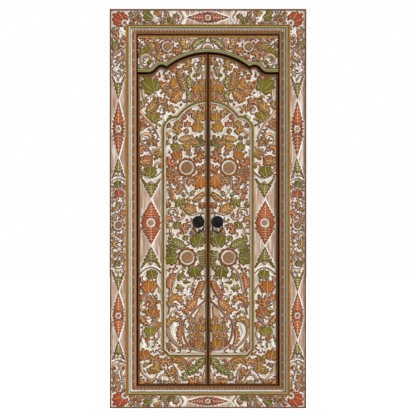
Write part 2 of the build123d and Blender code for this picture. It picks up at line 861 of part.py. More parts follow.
def head():
    """The top member: a stop in front over the transom, a deep lintel behind, and tenons."""
    front = box(-sight[0], sight[0], board_back_y, stop_back_y, sight[2], frame_top_z)
    rear = box(-jamb_rear_x, jamb_rear_x, stop_back_y, frame_back_y, head_foot_z, frame_top_z)
    whole = fused(rear, [front] + tenons(head_foot_z, frame_top_z))
    return whole.cut(*peg_holes(peg_clearance), *cup_seats(), transom_groove()).solid()


# Transom
def both_halves(right_half):
    """A line over the whole width, from the left end to the right end."""
    left_half = [(-x, z) for x, z in reversed(right_half)]
    return left_half[:-1] + right_half


def transom_foot():
    """The transom's lower edge, from jamb to jamb."""
    return both_halves(arch_line(-arch_width / 2, 0.0, sight[0]))


def transom_panel():
    """The carved board over the arch, held by a tongue in the jambs and the head."""
    half, top = sight[0], sight[2]
    edge, edge_top = half - transom_edge, top - transom_edge
    reach, reach_top = half + transom_tongue, top + transom_tongue
    foot = transom_foot()
    end_z = foot[0][1]
    back = prism(foot + [(half, top), (-half, top)], tongue_near_y - 2.0, stop_back_y)
    tongue_outline = [(-reach, end_z)] + foot + [(reach, end_z), (reach, reach_top), (-reach, reach_top)]
    tongue = prism(tongue_outline, tongue_near_y, tongue_near_y + tongue_thick)
    field_foot = both_halves(arch_line(-arch_width / 2, 0.0, edge))
    ground = prism(field_foot + [(edge, edge_top), (-edge, edge_top)], transom_ground_y, stop_back_y)
    strip = box(-edge, edge, transom_front_y, transom_ground_y + sink, edge_top - transom_strip, edge_top)
    motifs = []
    for side in (-1, 1):
        motifs += [raised(on_transom(m, side), transom_ground_y, transom_front_y) for m in transom_layout()]
    rosette = raised(half_rosette(arch_crown + arch_width / 2 + 3.0), transom_ground_y, transom_front_y)
    return fused(back, [ground, strip, rosette, tongue] + motifs)


def arch_moulding():
    """The cusped moulding along the transom's lower edge: two fillets with a round between them."""
    low, high = -arch_width / 2, arch_width / 2
    end = sight[0] - transom_edge
    near = transom_ground_y - arch_rise
    steps = [(low, high, near + 7.0, transom_ground_y), (low + 4.0, high - 4.0, near, near + 8.0)]
    layers = []
    for d0, d1, y0, y1 in steps:
        outline = both_halves(arch_line(d0, 0.0, end)) + both_halves(arch_line(d1, 0.0, end))[::-1]
        layers.append(prism(outline, y0, y1))
    return fused(layers[0], layers[1:])


# Leaves
def meeting_x(y, side):
    """Where a leaf's meeting edge lies at depth y: both lean the same way, so that no light gets through."""
    return side * meeting_gap / 2 + meeting_lean * (y - lip_thick / 2)


def lip(side):
    """The plain plank of a leaf: round at the heel, where it turns, and leaning at its meeting edge."""
    heel_mid = math.radians(45.0)
    heel = (side * (axis_x + axis_back * math.sin(heel_mid)), axis_back * (1 - math.cos(heel_mid)))
    front_heel = Vector(side * axis_x, 0, lip_foot_z)
    side_heel = Vector(side * lip_outer_x, axis_back, lip_foot_z)
    back_heel = Vector(side * lip_outer_x, lip_thick, lip_foot_z)
    back_edge = Vector(meeting_x(lip_thick, side), lip_thick, lip_foot_z)
    front_edge = Vector(meeting_x(0.0, side), 0, lip_foot_z)
    edges = [
        Edge.make_three_point_arc(front_heel, Vector(heel[0], heel[1], lip_foot_z), side_heel),
        Edge.make_line(side_heel, back_heel),
        Edge.make_line(back_heel, back_edge),
        Edge.make_line(back_edge, front_edge),
        Edge.make_line(front_edge, front_heel),
    ]
    return Solid.extrude(Face(Wire(edges)), Vector(0, 0, lip_top_z - lip_foot_z))


def field_outline(side, margin, foot):
    """The raised field's outline, moved in by margin at its sides and top and by foot at its bottom."""
    drop_by = -arch_width / 2 - arch_gap - margin
    inner, outer = slot_half + margin, field_outer_x - margin
    top = arch_line(drop_by, inner, outer)
    low = field_foot_z + foot
    points = top + [(outer, low), (inner, low)]
    return [(side * x, z) for x, z in points]


def panel_ring(side, d0, d1, near_y):
    """A band of the panel border between two distances from its line."""
    outline = panel_line(d0) + panel_line(d1)[::-1]
    return prism([(side * x, z) for x, z in outline], near_y, field_ground_y + sink)


def leaf(side):
    """A carved leaf: the plank, the raised field with its strips and panel border, and the motifs."""
    slab = prism(field_outline(side, 0.0, 0.0), field_ground_y, 1.0)
    rim_outer = prism(field_outline(side, 0.0, 0.0), field_front_y, field_ground_y + sink)
    inner = field_outline(side, edge_strip, foot_strip)
    rim_inner = prism(inner, field_front_y - cut_margin, field_ground_y + sink + cut_margin)
    rim = rim_outer.cut(rim_inner).solid()
    bands = [
        panel_ring(side, -panel_band / 2, panel_band / 2, field_front_y),
        panel_ring(side, -panel_band / 2 - panel_fillet, -panel_band / 2, field_ground_y - panel_fillet_rise),
        panel_ring(side, panel_band / 2, panel_band / 2 + panel_fillet, field_ground_y - panel_fillet_rise),
    ]
    layout = leaf_strip() + leaf_foot() + leaf_panel() + leaf_crown()
    motifs = [raised(on_field(m, side), field_ground_y, field_front_y) for m in layout]
    pull_x = side * pull_inset
    seat_radius = plate_radius + seat_margin
    seat = rod(pull_x, field_ground_y + sink, pull_height, seat_radius, field_relief + sink, (0, -1, 0))
    whole = fused(lip(side), [slab, rim, seat] + bands + motifs)
    pin_hole = pin_radius + cup_seat_clearance
    shank_hole = shank_radius + shank_clearance
    shank_cut = lip_thick - field_front_y + 2 * cut_margin
    cuts = [
        rod(side * axis_x, axis_back, lip_top_z - pin_in_leaf, pin_hole, pin_in_leaf + cut_margin, (0, 0, 1)),
        rod(side * axis_x, axis_back, lip_foot_z - cut_margin, pin_hole, pin_in_leaf + cut_margin, (0, 0, 1)),
        rod(pull_x, field_front_y - cut_margin, pull_height, shank_hole, shank_cut, (0, 1, 0)),
    ]
    return whole.cut(*cuts).solid()


# Ironwork
def pivot_pin(side, at_top):
    """A pivot pin, driven into the leaf and reaching into its cup."""
    reach = cup_depth - pin_end_play
    if at_top:
        low, high = lip_top_z - pin_in_leaf, head_foot_z + reach
    else:
        low, high = sill_top_z - reach, lip_foot_z + pin_in_leaf
    return rod(side * axis_x, axis_back, low, pin_radius, high - low, (0, 0, 1))


def pivot_cup(side, at_top):
    """The iron cup that a pivot pin turns in."""
    mouth = head_foot_z if at_top else sill_top_z
    way = 1 if at_top else -1
    cup = rod(side * axis_x, axis_back, mouth, cup_radius, cup_depth + cup_floor, (0, 0, way))
    bore = rod(side * axis_x, axis_back, mouth - way, pin_radius + pin_play, cup_depth + 1, (0, 0, way))
    return cup.cut(bore).solid()


def bent_bar(mean, bar):
    """A ring about Y, forged from an eight-sided bar."""
    corners = [math.radians(22.5 + 45.0 * i) for i in range(8)]
    section = [Vector(mean + bar * math.cos(a), bar * math.sin(a), 0) for a in corners]
    return Solid.revolve(Face(Wire.make_polygon(section, close=True)), 360.0, Axis.Y)


def pull_plate(side):
    """A round plate with a rolled rim and a low boss round the eye's shank."""
    profile = [
        (shank_radius + shank_clearance, 0.0),
        (plate_radius, 0.0),
        (plate_radius - 1.5, plate_thick),
        (plate_boss_radius, plate_thick),
        (plate_boss_radius - 4.0, plate_thick + plate_boss_rise),
        (shank_radius + shank_clearance, plate_thick + plate_boss_rise),
    ]
    face = Face(Wire.make_polygon([Vector(r, -h, 0) for r, h in profile], close=True))
    plate = Solid.revolve(face, 360.0, Axis.Y)
    return plate.moved(Location((side * pull_inset, field_front_y, pull_height)))


def pull_eye(side):
    """The eye that carries the ring, with its shank through the leaf and its riveted end."""
    x = side * pull_inset
    loop = bent_bar(eye_mean, eye_wire).rotate(Axis.Z, 90).moved(Location((x, eye_y, pull_height)))
    start = eye_y + eye_mean
    back = lip_thick + washer_thick
    shank = rod(x, start, pull_height, shank_radius, back - start, (0, 1, 0))
    rivet = rod(x, back, pull_height, rivet_radius, rivet_rise, (0, 1, 0))
    return fused(shank, [loop, rivet])


def pull_washer(side):
    """The washer at the back of the leaf."""
    x, bore = side * pull_inset, shank_radius + shank_clearance
    disc_solid = rod(x, lip_thick, pull_height, washer_radius, washer_thick, (0, 1, 0))
    hole = rod(x, lip_thick - cut_margin, pull_height, bore, washer_thick + 2 * cut_margin, (0, 1, 0))
    return disc_solid.cut(hole).solid()


def pull_ring(side):
    """The ring, hanging in the eye."""
    ring = bent_bar(ring_radius, ring_wire)
    return ring.moved(Location((side * pull_inset, eye_y, pull_height - ring_radius)))


def write(name, *solids):
    """Writes one sub-part."""
    shape = solids[0] if len(solids) == 1 else Compound(list(solids))
    export_step(shape, f"parts/{name}.step")


def main():
    os.makedirs("parts", exist_ok=True)
    sides = (("left", -1), ("right", 1))
    write("sill", sill())
    write("head", head())
    write("frame_pegs", *peg_holes(0.0))
    top_z = (carving_outer[2] + carving_inner[2]) / 2
    foot_z = (carving_outer[1] + carving_inner[1]) / 2
    casing = {
        "left": jamb_motifs(-1),
        "right": jamb_motifs(1),
        "top": rail_motifs(top_z, carving_outer[2] - carving_inner[2], 1),
        "bottom": rail_motifs(foot_z, carving_inner[1] - carving_outer[1], -1),
    }
    for where, motifs in casing.items():
        write(f"casing_{where}", casing_board(where, motifs))
        write(f"bead_{where}", run_of(where, bead_profile(), board_inner, moulding_inner))
        write(f"sight_{where}", run_of(where, sight_profile(), moulding_inner, sight))
    write("transom_panel", transom_panel())
    write("arch_moulding", arch_moulding())
    for name, side in sides:
        write(f"{name}_jamb", jamb(side))
        write(f"{name}_leaf", leaf(side))
        write(f"{name}_pull_plate", pull_plate(side))
        write(f"{name}_pull_eye", pull_eye(side))
        write(f"{name}_pull_washer", pull_washer(side))
        write(f"{name}_ring", pull_ring(side))
        for end, at_top in (("top", True), ("bottom", False)):
            write(f"{name}_{end}_pin", pivot_pin(side, at_top))
            write(f"{name}_{end}_socket", pivot_cup(side, at_top))


main()
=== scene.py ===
"""Painted, carved double temple door, dressed around its CAD frame.

The carving is worked out in millimetres on the boards' faces and written as meshes in metres. Every layout is
drawn for the left half, with x negative, and mirrored for the right half with small hand-cut differences.
"""

import math

import bpy
import numpy as np
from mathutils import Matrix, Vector


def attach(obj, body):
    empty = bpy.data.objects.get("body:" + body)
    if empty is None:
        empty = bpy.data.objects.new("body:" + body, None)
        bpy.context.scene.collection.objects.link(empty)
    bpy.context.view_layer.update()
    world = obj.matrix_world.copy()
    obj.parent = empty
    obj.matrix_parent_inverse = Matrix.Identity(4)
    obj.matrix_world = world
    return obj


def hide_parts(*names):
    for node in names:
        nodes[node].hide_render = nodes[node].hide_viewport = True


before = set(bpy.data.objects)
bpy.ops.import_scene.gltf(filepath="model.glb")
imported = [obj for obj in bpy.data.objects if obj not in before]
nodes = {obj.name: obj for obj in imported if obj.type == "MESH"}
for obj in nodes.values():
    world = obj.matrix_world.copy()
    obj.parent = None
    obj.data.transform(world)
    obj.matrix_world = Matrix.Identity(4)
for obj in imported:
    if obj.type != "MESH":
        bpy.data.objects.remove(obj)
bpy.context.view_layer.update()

# Sizes in millimetres, as in the solids
HALF_WIDTH = 541.5
HEIGHT = 2200.0
BOARD_WIDTHS = {"left": 100.0, "right": 100.0, "top": 90.0, "bottom": 76.0}
BOARD_INNER = (441.5, 76.0, 2110.0)
BOARD_BEVEL = 0.7
BOARD_FRONT = -46.0
BOARD_GROUND = -39.0
BOARD_BACK = -22.0
OUTER_FILLET = 8.0
INNER_FILLET_SIDE = 11.0
INNER_FILLET_RAIL = 5.0
MOULDING_WIDTH = 26.0
BEAD_HALF = 8.0
BEAD_RISE = 12.0
BEAD_FOOT = -38.0
PEARL_FOOT = -34.0
PEARL_HALF = 3.5
PEARLS_UPRIGHT = {"steps": 400, "length": 1988.0, "pitch": 52.0, "gap": 8.0}
PEARLS_LEVEL = {"steps": 240, "length": 831.0, "pitch": 20.0, "gap": 6.0}
SIGHT = (394.5, 123.0, 2063.0)
FIELD_OUTER = 388.0
FIELD_FOOT = 127.0
FIELD_FRONT = -18.0
FIELD_GROUND = -10.0
SLOT_HALF = 2.9
EDGE_STRIP = 11.0
FOOT_STRIP = 6.0
FIELD_DROP = -20.0
ARCH_CROWN = 1974.0
ARCH_RADIUS = 382.0
SHOULDER = (256.0, 1852.0, 52.0)
HAUNCH = (332.6, 1903.0, 40.0)
ARCH_HALF = 11.0
TRANSOM_EDGE = 387.5
TRANSOM_TOP = 2056.0
TRANSOM_FRONT = -26.0
TRANSOM_GROUND = -18.0
TRANSOM_BACK = -2.0
TRANSOM_STRIP = 10.0
TONGUE = (-15.0, -2.5)
PANEL_SIDE = 244.0
PANEL_FOOT = 289.0
PANEL_CHAMFER = 32.0
PANEL_SHOULDER = (178.0, 1538.0, 66.0)
PANEL_CROWN = (0.0, 1494.0, 199.0)
PULL_X = 52.5
PULL_Z = 1027.0
PULL_SEAT = 33.8
PULL_CLEAR = 48.0
BORDER_HALF = 13.0
BORDER_CLEAR = 26.0
LEAF_GAP = 0.3
LEAF_BACK = 1.0
LIP_FOOT = 103.0
LIP_TOP = 1985.0
LIP_BACK = 34.0
AXIS_X = 410.0
HEEL = 9.0
LEAN_SLOPE = 0.055
LEAN_SHIFT = 0.8

# Places of the drawn carving
DRAWN_SHIFT = 2.5
JAMB_MIDDLE = 492.0
CARVED_JAMB = (-528.0, -456.0, 100.0, 2096.0)
CARVED_RAIL = (-434.0, -132.0, -34.0, 35.0)
CARVED_TRANSOM = (-376.0, 0.0, 1880.0, 2044.0)
CARVED_LEAF = (-382.0, -12.0, 132.0, 1960.0)
FILLED_LEAF = (-374.0, -24.0, 140.0)
JAMB_LOZENGES = ((280.0, 750.0), (1280.0, 1818.0))
JAMB_WASHES = ((285.0, 745.0), (1285.0, 1812.0))
STRIP_LOZENGES = (-262.0, 790.0, 1265.0)
STRIP_WASH = (254.0, 800.0, 1250.0)
RAIL_WASH = 126.0
RAIL_SPAN = 77.0
CORNERS = (478.0, 54.0, 2140.0)
ROSETTE_REACH = 52.0

# Sizes of the motifs against those drawn
LEAF_SIZE = 1.82
BRANCH_SIZE = 1.75
CURL_SIZE = 2.0
STEM_SIZE = 1.8
HOOKED_FROM = 30.0

# Carving
STEP = 2.8
CASING_STEP = 2.5
TRANSOM_STEP = 2.6
WALL = 1.2
GROOVE = 2.4
REACH = 16.0
DEEP = 9.0
RIBS = 9.4
FILL_STEP = 3.0
LEAF_FILL_STEP = 4.0


def srgb(r, g, b):
    """A linear colour from 0 to 255 values as seen on a screen."""
    values = [c / 255.0 for c in (r, g, b)]
    return tuple(c / 12.92 if c < 0.04045 else ((c + 0.055) / 1.055) ** 2.4 for c in values)


TINTS = {
    "ochre": srgb(158, 104, 36),
    "gold": srgb(154, 110, 36),
    "orange": srgb(160, 96, 36),
    "terracotta": srgb(168, 82, 38),
    "red": srgb(158, 70, 44),
    "olive": srgb(118, 110, 30),
    "green": srgb(98, 98, 26),
    "pink": srgb(186, 142, 112),
    "brown": srgb(146, 84, 32),
    "stem": srgb(178, 134, 96),
    "white": srgb(226, 222, 213),
    "grey": srgb(150, 118, 82),
    "dark": srgb(70, 44, 24),
}

# How strongly the painted shade at the motifs' edges shows in a tint, where it is less than fully
SHADE_STRENGTH = {"white": 0.0, "pink": 0.55, "stem": 0.75, "grey": 0.8}
BACK_TINT = srgb(122, 84, 54)
OUTER_STRIP = srgb(112, 70, 30)
PLAIN_STRIP = srgb(156, 108, 46)

# What a motif's style says of its form
LEAF, STEM, BOSS, DISC, SPEAR, PETALS, RIBBON, SEAT = 0.0, 1.0, 2.0, 3.0, 4.0, 5.0, 6.0, 9.0


# Outlines of the carving
class Motif:
    """A union of tapered strokes in one colour, with veins cut into it.

    A stroke is ax, az, bx, bz and the radius at each end, and a vein is ax, az, bx, bz.
    """

    def __init__(self, strokes, tint, style=LEAF, rise=1.0, veins=None):
        self.strokes = np.array(strokes, float)
        self.tint = tint
        self.style = style
        self.rise = rise
        self.veins = None if veins is None else np.array(veins, float)

    def moved(self, change):
        """The motif with its points put through change, which returns new x and z."""
        lines = [None if line is None else line.copy() for line in (self.strokes, self.veins)]
        for line in lines:
            if line is not None:
                for i in (0, 2):
                    line[:, i], line[:, i + 1] = change(line[:, i].copy(), line[:, i + 1].copy())
        return Motif(lines[0], self.tint, self.style, self.rise, lines[1])

    def jittered(self, shift, turn, size):
        """The motif moved, turned and resized a little about its middle."""
        mx = (self.strokes[:, 0].mean() + self.strokes[:, 2].mean()) / 2
        mz = (self.strokes[:, 1].mean() + self.strokes[:, 3].mean()) / 2
        c, s = math.cos(turn) * size, math.sin(turn) * size

        def change(x, z):
            u, v = x - mx, z - mz
            return mx + shift[0] + u * c - v * s, mz + shift[1] + u * s + v * c

        return self.moved(change)


def polar(x, z, r, degrees):
    """The point at distance r from (x, z) along an angle."""
    a = math.radians(degrees)
    return x + r * math.cos(a), z + r * math.sin(a)


def along(points, radii):
    """Strokes through the points, with a radius at each."""
    pairs = zip(points, points[1:], radii, radii[1:])
    return [(*a, *b, ra, rb) for a, b, ra, rb in pairs]


def smooth(points, steps=5):
    """A rounded line through the points."""
    p = [np.array(q, float) for q in points]
    p = [2 * p[0] - p[1]] + p + [2 * p[-1] - p[-2]]
    line = []
    for a, b, c, d in zip(p, p[1:], p[2:], p[3:]):
        for i in range(steps):
            t = i / steps
            bend = 2 * b + (c - a) * t + (2 * a - 5 * b + 4 * c - d) * t**2
            line.append(0.5 * (bend + (3 * b - a - 3 * c + d) * t**3))
    line.append(p[-2])
    return [(q[0], q[1]) for q in line]


def hooked_leaf(x, z, size, angle, tint, turn):
    """A leaf curled round on itself: scallops along its outer side and a round tip."""
    points = [polar(x, z, 0.40 * size, angle + 180 + turn * t) for t in (0, 60, 120, 180, 225)]
    out = acanthus(1.12 * size / BRANCH_SIZE, *points, tint=tint, sides=(-turn,), n=5, lean=66.0)
    return out + ball(*polar(x, z, 0.24 * size, angle + 180 + turn * 250), 0.15 * size, tint)


def leaf(x, z, r, angle, tint="ochre", n=5):
    """A leaf: broad and scalloped with its tip along angle, or, for many of the warm ones, hooked round."""
    r = LEAF_SIZE * r
    number = int(abs(x)) + int(z)
    if r > HOOKED_FROM and tint not in ("olive", "green", "red") and n < 7 and number % 3:
        return hooked_leaf(x, z, 0.96 * r, angle, tint, 1 if number % 4 < 2 else -1)
    foot = polar(x, z, 0.58 * r, angle + 180)
    heart = polar(x, z, 0.04 * r, angle + 180)
    lobes = n + 2
    spread = {3: 112.0, 5: 130.0, 7: 136.0}[n]
    width = {3: 0.26, 5: 0.23, 7: 0.19}[n]
    strokes = [(*foot, *heart, 0.05 * r, 0.46 * r)]
    veins = []
    for i in range(lobes):
        a = spread - 2 * spread * i / (lobes - 1)
        middle = abs(a) < 1.0
        out = r * (0.74 if middle else 0.44 + 0.18 * math.cos(math.radians(a / 2)) ** 2)
        tip = polar(x, z, out, angle + a)
        strokes.append((*heart, *tip, 0.18 * r, r * (0.17 if middle else width)))
        if i % 2 == 1 or n == 3:
            veins.append((*foot, *polar(x, z, 1.02 * out, angle + a)))
    return [Motif(strokes, tint, veins=veins)]


def bud(x, z, length, width, angle, tint="ochre"):
    """A bud: round behind and pointed in front."""
    back = polar(x, z, 0.5 * length - 0.5 * width, angle + 180)
    tip = polar(x, z, 0.5 * length, angle)
    return [Motif([(*back, *tip, 0.48 * width, 0.06 * width)], tint)]


def ball(x, z, r, tint="ochre", style=BOSS, rise=1.0):
    """A small round boss, or another round motif."""
    return [Motif([(x, z, x + 0.1, z, r, r)], tint, style, rise)]


def curl(x, z, r, start, end, width, tint="stem", tip="ochre"):
    """A C scroll that thins to a point at its start and winds into a round tip at its end."""
    n = 12
    points, radii = [], []
    width *= CURL_SIZE
    for i in range(n + 1):
        t = i / n
        points.append(polar(x, z, r * (1.0 - 0.25 * t), start + (end - start) * t))
        radii.append(width / 2 * min(1.0, 0.3 + 1.4 * t))
    out = [Motif(along(points, radii), tint, STEM)]
    if tip:
        out += ball(*polar(x, z, r * 0.66, end), width * 0.72, tip)
    return out


def stem(width, *points, tint="stem", ends=(1.0, 0.45)):
    """A smooth stroke through the points that thins towards its end."""
    return [Motif(tapered(points, STEM_SIZE * width, ends), tint, STEM)]


def ribbon(width, *points, tint="brown", ends=(1.0, 0.5)):
    """A broad ribbed stroke through the points that thins towards its end."""
    return [Motif(tapered(points, width, ends), tint, RIBBON)]


def tapered(points, width, ends):
    """Strokes along a rounded line, with a share of the width at each end."""
    line = smooth(points)
    radii = np.interp(np.linspace(0, 1, len(line)), (0, 1), (ends[0] * width / 2, ends[1] * width / 2))
    return along(line, radii)


def lattice(x0, z0, x1, z1, half, tint="stem"):
    """A strip of diamond lattice between two points."""
    veins = []
    for i in range(-3, 8):
        t = i * 0.22
        x, z = x0 + (x1 - x0) * t, z0 + (z1 - z0) * t
        for way in (-1, 1):
            veins.append((x - half, z - way * half, x + half, z + way * half))
    return [Motif([(x0, z0, x1, z1, 0.4 * half, half)], tint, LEAF, 0.72, veins)]


def acanthus(width, *points, tint="ochre", sides=(1, -1), n=4, lean=52.0):
    """A curved leaf: a broad spine with scallops on one or both sides and a vein to each."""
    width = BRANCH_SIZE * width
    line = smooth(points, 6)
    count = len(line) - 1
    belly = [math.sin(math.pi * min(1.0, 0.15 + 0.85 * i / count)) for i in range(count + 1)]
    radii = [width * (0.10 + 0.20 * b) for b in belly]
    strokes = along(line, radii)
    veins = [(*a, *b) for a, b in zip(line, line[1:-2])]
    for k in range(n + 1):
        t = (k + 0.5) / (n + 1.4)
        i = min(int(t * count), count - 1)
        (ax, az), (bx, bz) = line[i], line[i + 1]
        way = math.degrees(math.atan2(bz - az, bx - ax))
        reach = width * (0.40 - 0.22 * abs(t - 0.42))
        for side in sides:
            tip = polar(ax, az, reach, way + side * lean)
            strokes.append((ax, az, *tip, width * 0.20, width * 0.20))
            veins.append((ax, az, *polar(ax, az, 1.25 * reach, way + side * lean)))
    return [Motif(strokes, tint, veins=veins)]


def ring(x, z, r, width, tint="white", n=28):
    """A round band."""
    points = [polar(x, z, r, 360.0 * i / n) for i in range(n + 1)]
    return [Motif(along(points, [width / 2] * (n + 1)), tint, BOSS, 0.6)]


def flower(x, z, r, petals=10, tint="brown", heart="grey", turn=0.0):
    """An open flower: rounded petals, a pale ring and a disc."""
    strokes = []
    for i in range(petals):
        a = turn + 360.0 * i / petals
        strokes.append((*polar(x, z, 0.70 * r, a), *polar(x, z, 0.80 * r, a), 0.24 * r, 0.25 * r))
    out = [Motif(strokes, tint, PETALS)] + ring(x, z, 0.66 * r, 0.09 * r)
    return out + ball(x, z, 0.58 * r, heart, DISC, 0.8)


def band(x, z, half, rise, width):
    """A bowed band: a red-brown stroke on a pale one."""
    out = []
    for share, tint, high in ((1.0, "white", 0.7), (0.5, "brown", 1.0)):
        line = []
        for i in range(13):
            t = -1.0 + i / 6.0
            line.append((x + half * t, z - width / 2 * math.copysign(1, rise) + rise * (1.0 - t * t)))
        out.append(Motif(along(line, [width / 2 * share] * 13), tint, STEM, high))
    return out


def spear(x, foot, tip, half, tint, teeth=4):
    """A pointed upright leaf with rounded teeth, veined to each of them and along its middle."""
    rise = tip - foot
    strokes = [(x, foot + 0.16 * rise, x, foot + 0.97 * rise, 0.72 * half, 1.2)]
    for i in range(teeth):
        t = (i + 0.35) / teeth
        z = foot + rise * (0.02 + 0.84 * t)
        reach = 0.86 * half * (1.0 - t) + 1.5
        size = half * (0.19 - 0.09 * t)
        for side in (-1, 1):
            strokes.append((x, z - 0.06 * rise, x + side * reach, z + 0.03 * rise, 1.6 * size, size))
    veins = []
    for i in range(1, teeth + 1):
        t = (i - 0.2) / (teeth + 1)
        for side in (-1, 1):
            reach = 0.80 * half * (1.0 - t)
            veins.append((x, foot + rise * t * 0.8, x + side * reach, foot + rise * (t * 0.84 + 0.05)))
    veins.append((x, foot + 0.06 * rise, x, foot + 0.80 * rise))
    return [Motif(strokes, tint, SPEAR, veins=veins)]


def scales(x, apex, base, half, tint="olive", rows=4):
    """A spear with its tip at apex, a leaf splayed at each side of its foot and a small boss between them."""
    rise = base - apex
    out = spear(x, base - 0.06 * rise, apex, 0.96 * half, tint, rows)
    for side in (-1, 1):
        strokes = []
        for k in range(3):
            t = (k + 0.2) / 2.4
            root = (x + side * half * (0.55 + 0.12 * k), base + rise * (-0.06 + 0.05 * k))
            end = (x + side * half * (0.78 + 0.20 * k), base + rise * (-0.12 + 0.22 * k))
            strokes.append((*root, *end, 0.17 * half, half * (0.16 - 0.03 * t)))
        out.append(Motif(strokes, tint))
    return out + ball(x, base + 0.12 * rise, 0.22 * half, "pink")


def lozenge(x, z, hx, hz, tint="terracotta"):
    """A tall lozenge: a spear up and one down, a toothed leaf at each side, and a ringed eye."""
    out = []
    for way in (1, -1):
        for side in (-1, 1):
            line = [(x + side * 1.10 * hx, z + way * 0.06 * hz), (x, z + way * 1.08 * hz)]
            out.append(Motif(along(line, [1.6, 1.6]), "white", STEM, 0.7))
    for way in (1, -1):
        out += spear(x, z + way * 0.17 * hz, z + way * hz, 0.94 * hx, tint, 5)
    for side in (-1, 1):
        strokes = []
        for k in range(-2, 3):
            cx, cz = x + side * hx * (0.90 - 0.10 * abs(k)), z + k * 0.115 * hz
            strokes.append((x + side * 0.48 * hx, z + k * 0.05 * hz, cx, cz, 0.17 * hx, 0.12 * hx))
        out.append(Motif(strokes, tint))
    out += ring(x, z, 0.36 * hx, 0.12 * hx, "white", 20)
    return out + ball(x, z, 0.28 * hx, "pink", DISC)


def each(draw, *rows, **look):
    """The motifs that a function draws from each of the rows."""
    return [m for row in rows for m in draw(*row, **look)]


# Layouts on the left half
WIDE = (0.8, 0.9)
EVEN = (0.9, 0.9)


def strip_layout():
    """The upright strip between a leaf's hanging edge and its panel border."""
    return [
        each(leaf, (-346, 148, 24, 200), (-318, 143, 16, 250), tint="ochre", n=3),
        stem(11, (-366, 236), (-361, 205), (-345, 180), (-312, 156), (-286, 168)),
        curl(-300, 190, 24, -60, 160, 9),
        each(leaf, (-303, 238, 34, 70, "gold"), (-350, 286, 27, 100, "orange")),
        each(ball, (-300, 337, 7, "red"), (-312, 308, 6, "terracotta"), (-265, 342, 7, "red")),
        each(curl, (-345, 350, 22, -60, 70, 7, "orange", None), (-312, 408, 50, -75, 235, 10)),
        leaf(-316, 422, 27, 90, "olive"),
        bud(-288, 376, 26, 13, 60),
        acanthus(22, (-374, 506), (-356, 482), (-334, 452), tint="orange", n=3),
        ribbon(18, (-318, 452), (-290, 476), (-268, 508), (-284, 540), (-306, 536), tint="ochre"),
        each(
            leaf, (-276, 456, 17, -20, "orange", 3), (-301, 524, 27, 60, "orange"),
            (-326, 578, 27, 110, "orange"),
        ),
        each(
            curl, (-336, 556, 38, 110, 250, 8), (-330, 504, 14, 300, 90, 7),
            (-270, 572, 20, -40, 120, 8, "stem", "orange"),
        ),
        leaf(-357, 606, 17, 130, "orange", 3),
        bud(-280, 610, 30, 16, 70, "orange"),
        stem(8, (-362, 655), (-340, 632), (-320, 612)),
        leaf(-326, 664, 33, 90, "orange"),
        bud(-284, 699, 28, 16, 75),
        stem(8, (-262, 640), (-270, 668), (-284, 688)),
        curl(-345, 705, 24, 110, 210, 8, "red", None),
        leaf(-306, 733, 25, 100, "olive"),
        band(-312, 745, 60, 37, 13),
        ball(-312, 796, 10),
        scales(-312, 895, 806, 42),
        lozenge(-313, 1022, 56, 122),
        scales(-312, 1158, 1238, 42),
        band(-312, 1302, 60, -38, 13),
        leaf(-319, 1304, 30, 80, "olive"),
        curl(-348, 1322, 22, 130, 250, 8, "orange", None),
        acanthus(36, (-374, 1356), (-342, 1366), (-308, 1366), tint="orange", n=3),
        curl(-272, 1338, 18, 250, -20, 8),
        ball(-289, 1376, 8),
        each(leaf, (-274, 1409, 25, 200, "gold", 3), (-354, 1424, 23, 60, "orange", 3)),
        stem(9, (-262, 1440), (-290, 1428), (-312, 1404)),
        curl(-337, 1487, 33, 265, -40, 10),
        leaf(-306, 1457, 20, 20, "gold", 3),
        each(ball, (-298, 1491, 8, "gold"), (-322, 1558, 6, "red"), (-322, 1541, 6, "red")),
        each(leaf, (-355, 1574, 25, 200, "orange", 3), (-302, 1606, 32, 70, "olive")),
        stem(10, (-374, 1642), (-345, 1605), (-320, 1580), (-290, 1540), (-270, 1500)),
        bud(-260, 1598, 28, 18, 180, "pink"),
        leaf(-362, 1545, 14, 120, "orange", 3),
    ]


def foot_layout():
    """The field under the panel border."""
    return [
        stem(9, (-258, 142), (-262, 165), (-245, 182), (-215, 172), (-195, 138)),
        ball(-258, 147, 8),
        leaf(-181, 160, 22, 90, "orange"),
        bud(-256, 217, 30, 16, 110),
        acanthus(34, (-116, 212), (-126, 246), (-160, 268), (-205, 272), sides=(1,), n=3),
        each(leaf, (-232, 240, 24, 160), (-205, 205, 22, 230, "orange")),
        stem(8, (-160, 150), (-166, 200), (-190, 238)),
        curl(-84, 244, 32, 10, 200, 9),
        acanthus(30, (-22, 268), (-48, 232), (-80, 206), (-116, 192), tint="green"),
        acanthus(22, (-120, 192), (-128, 172), (-120, 148), tint="green", n=2),
        scales(-16, 212, 152, 22, "pink", 3),
        each(leaf, (-78, 160, 22, 220, "orange"), (-40, 142, 16, 250, "orange", 3)),
        bud(-290, 262, 30, 14, 40, "orange"),
        leaf(-146, 222, 16, 40, "gold", 3),
    ]


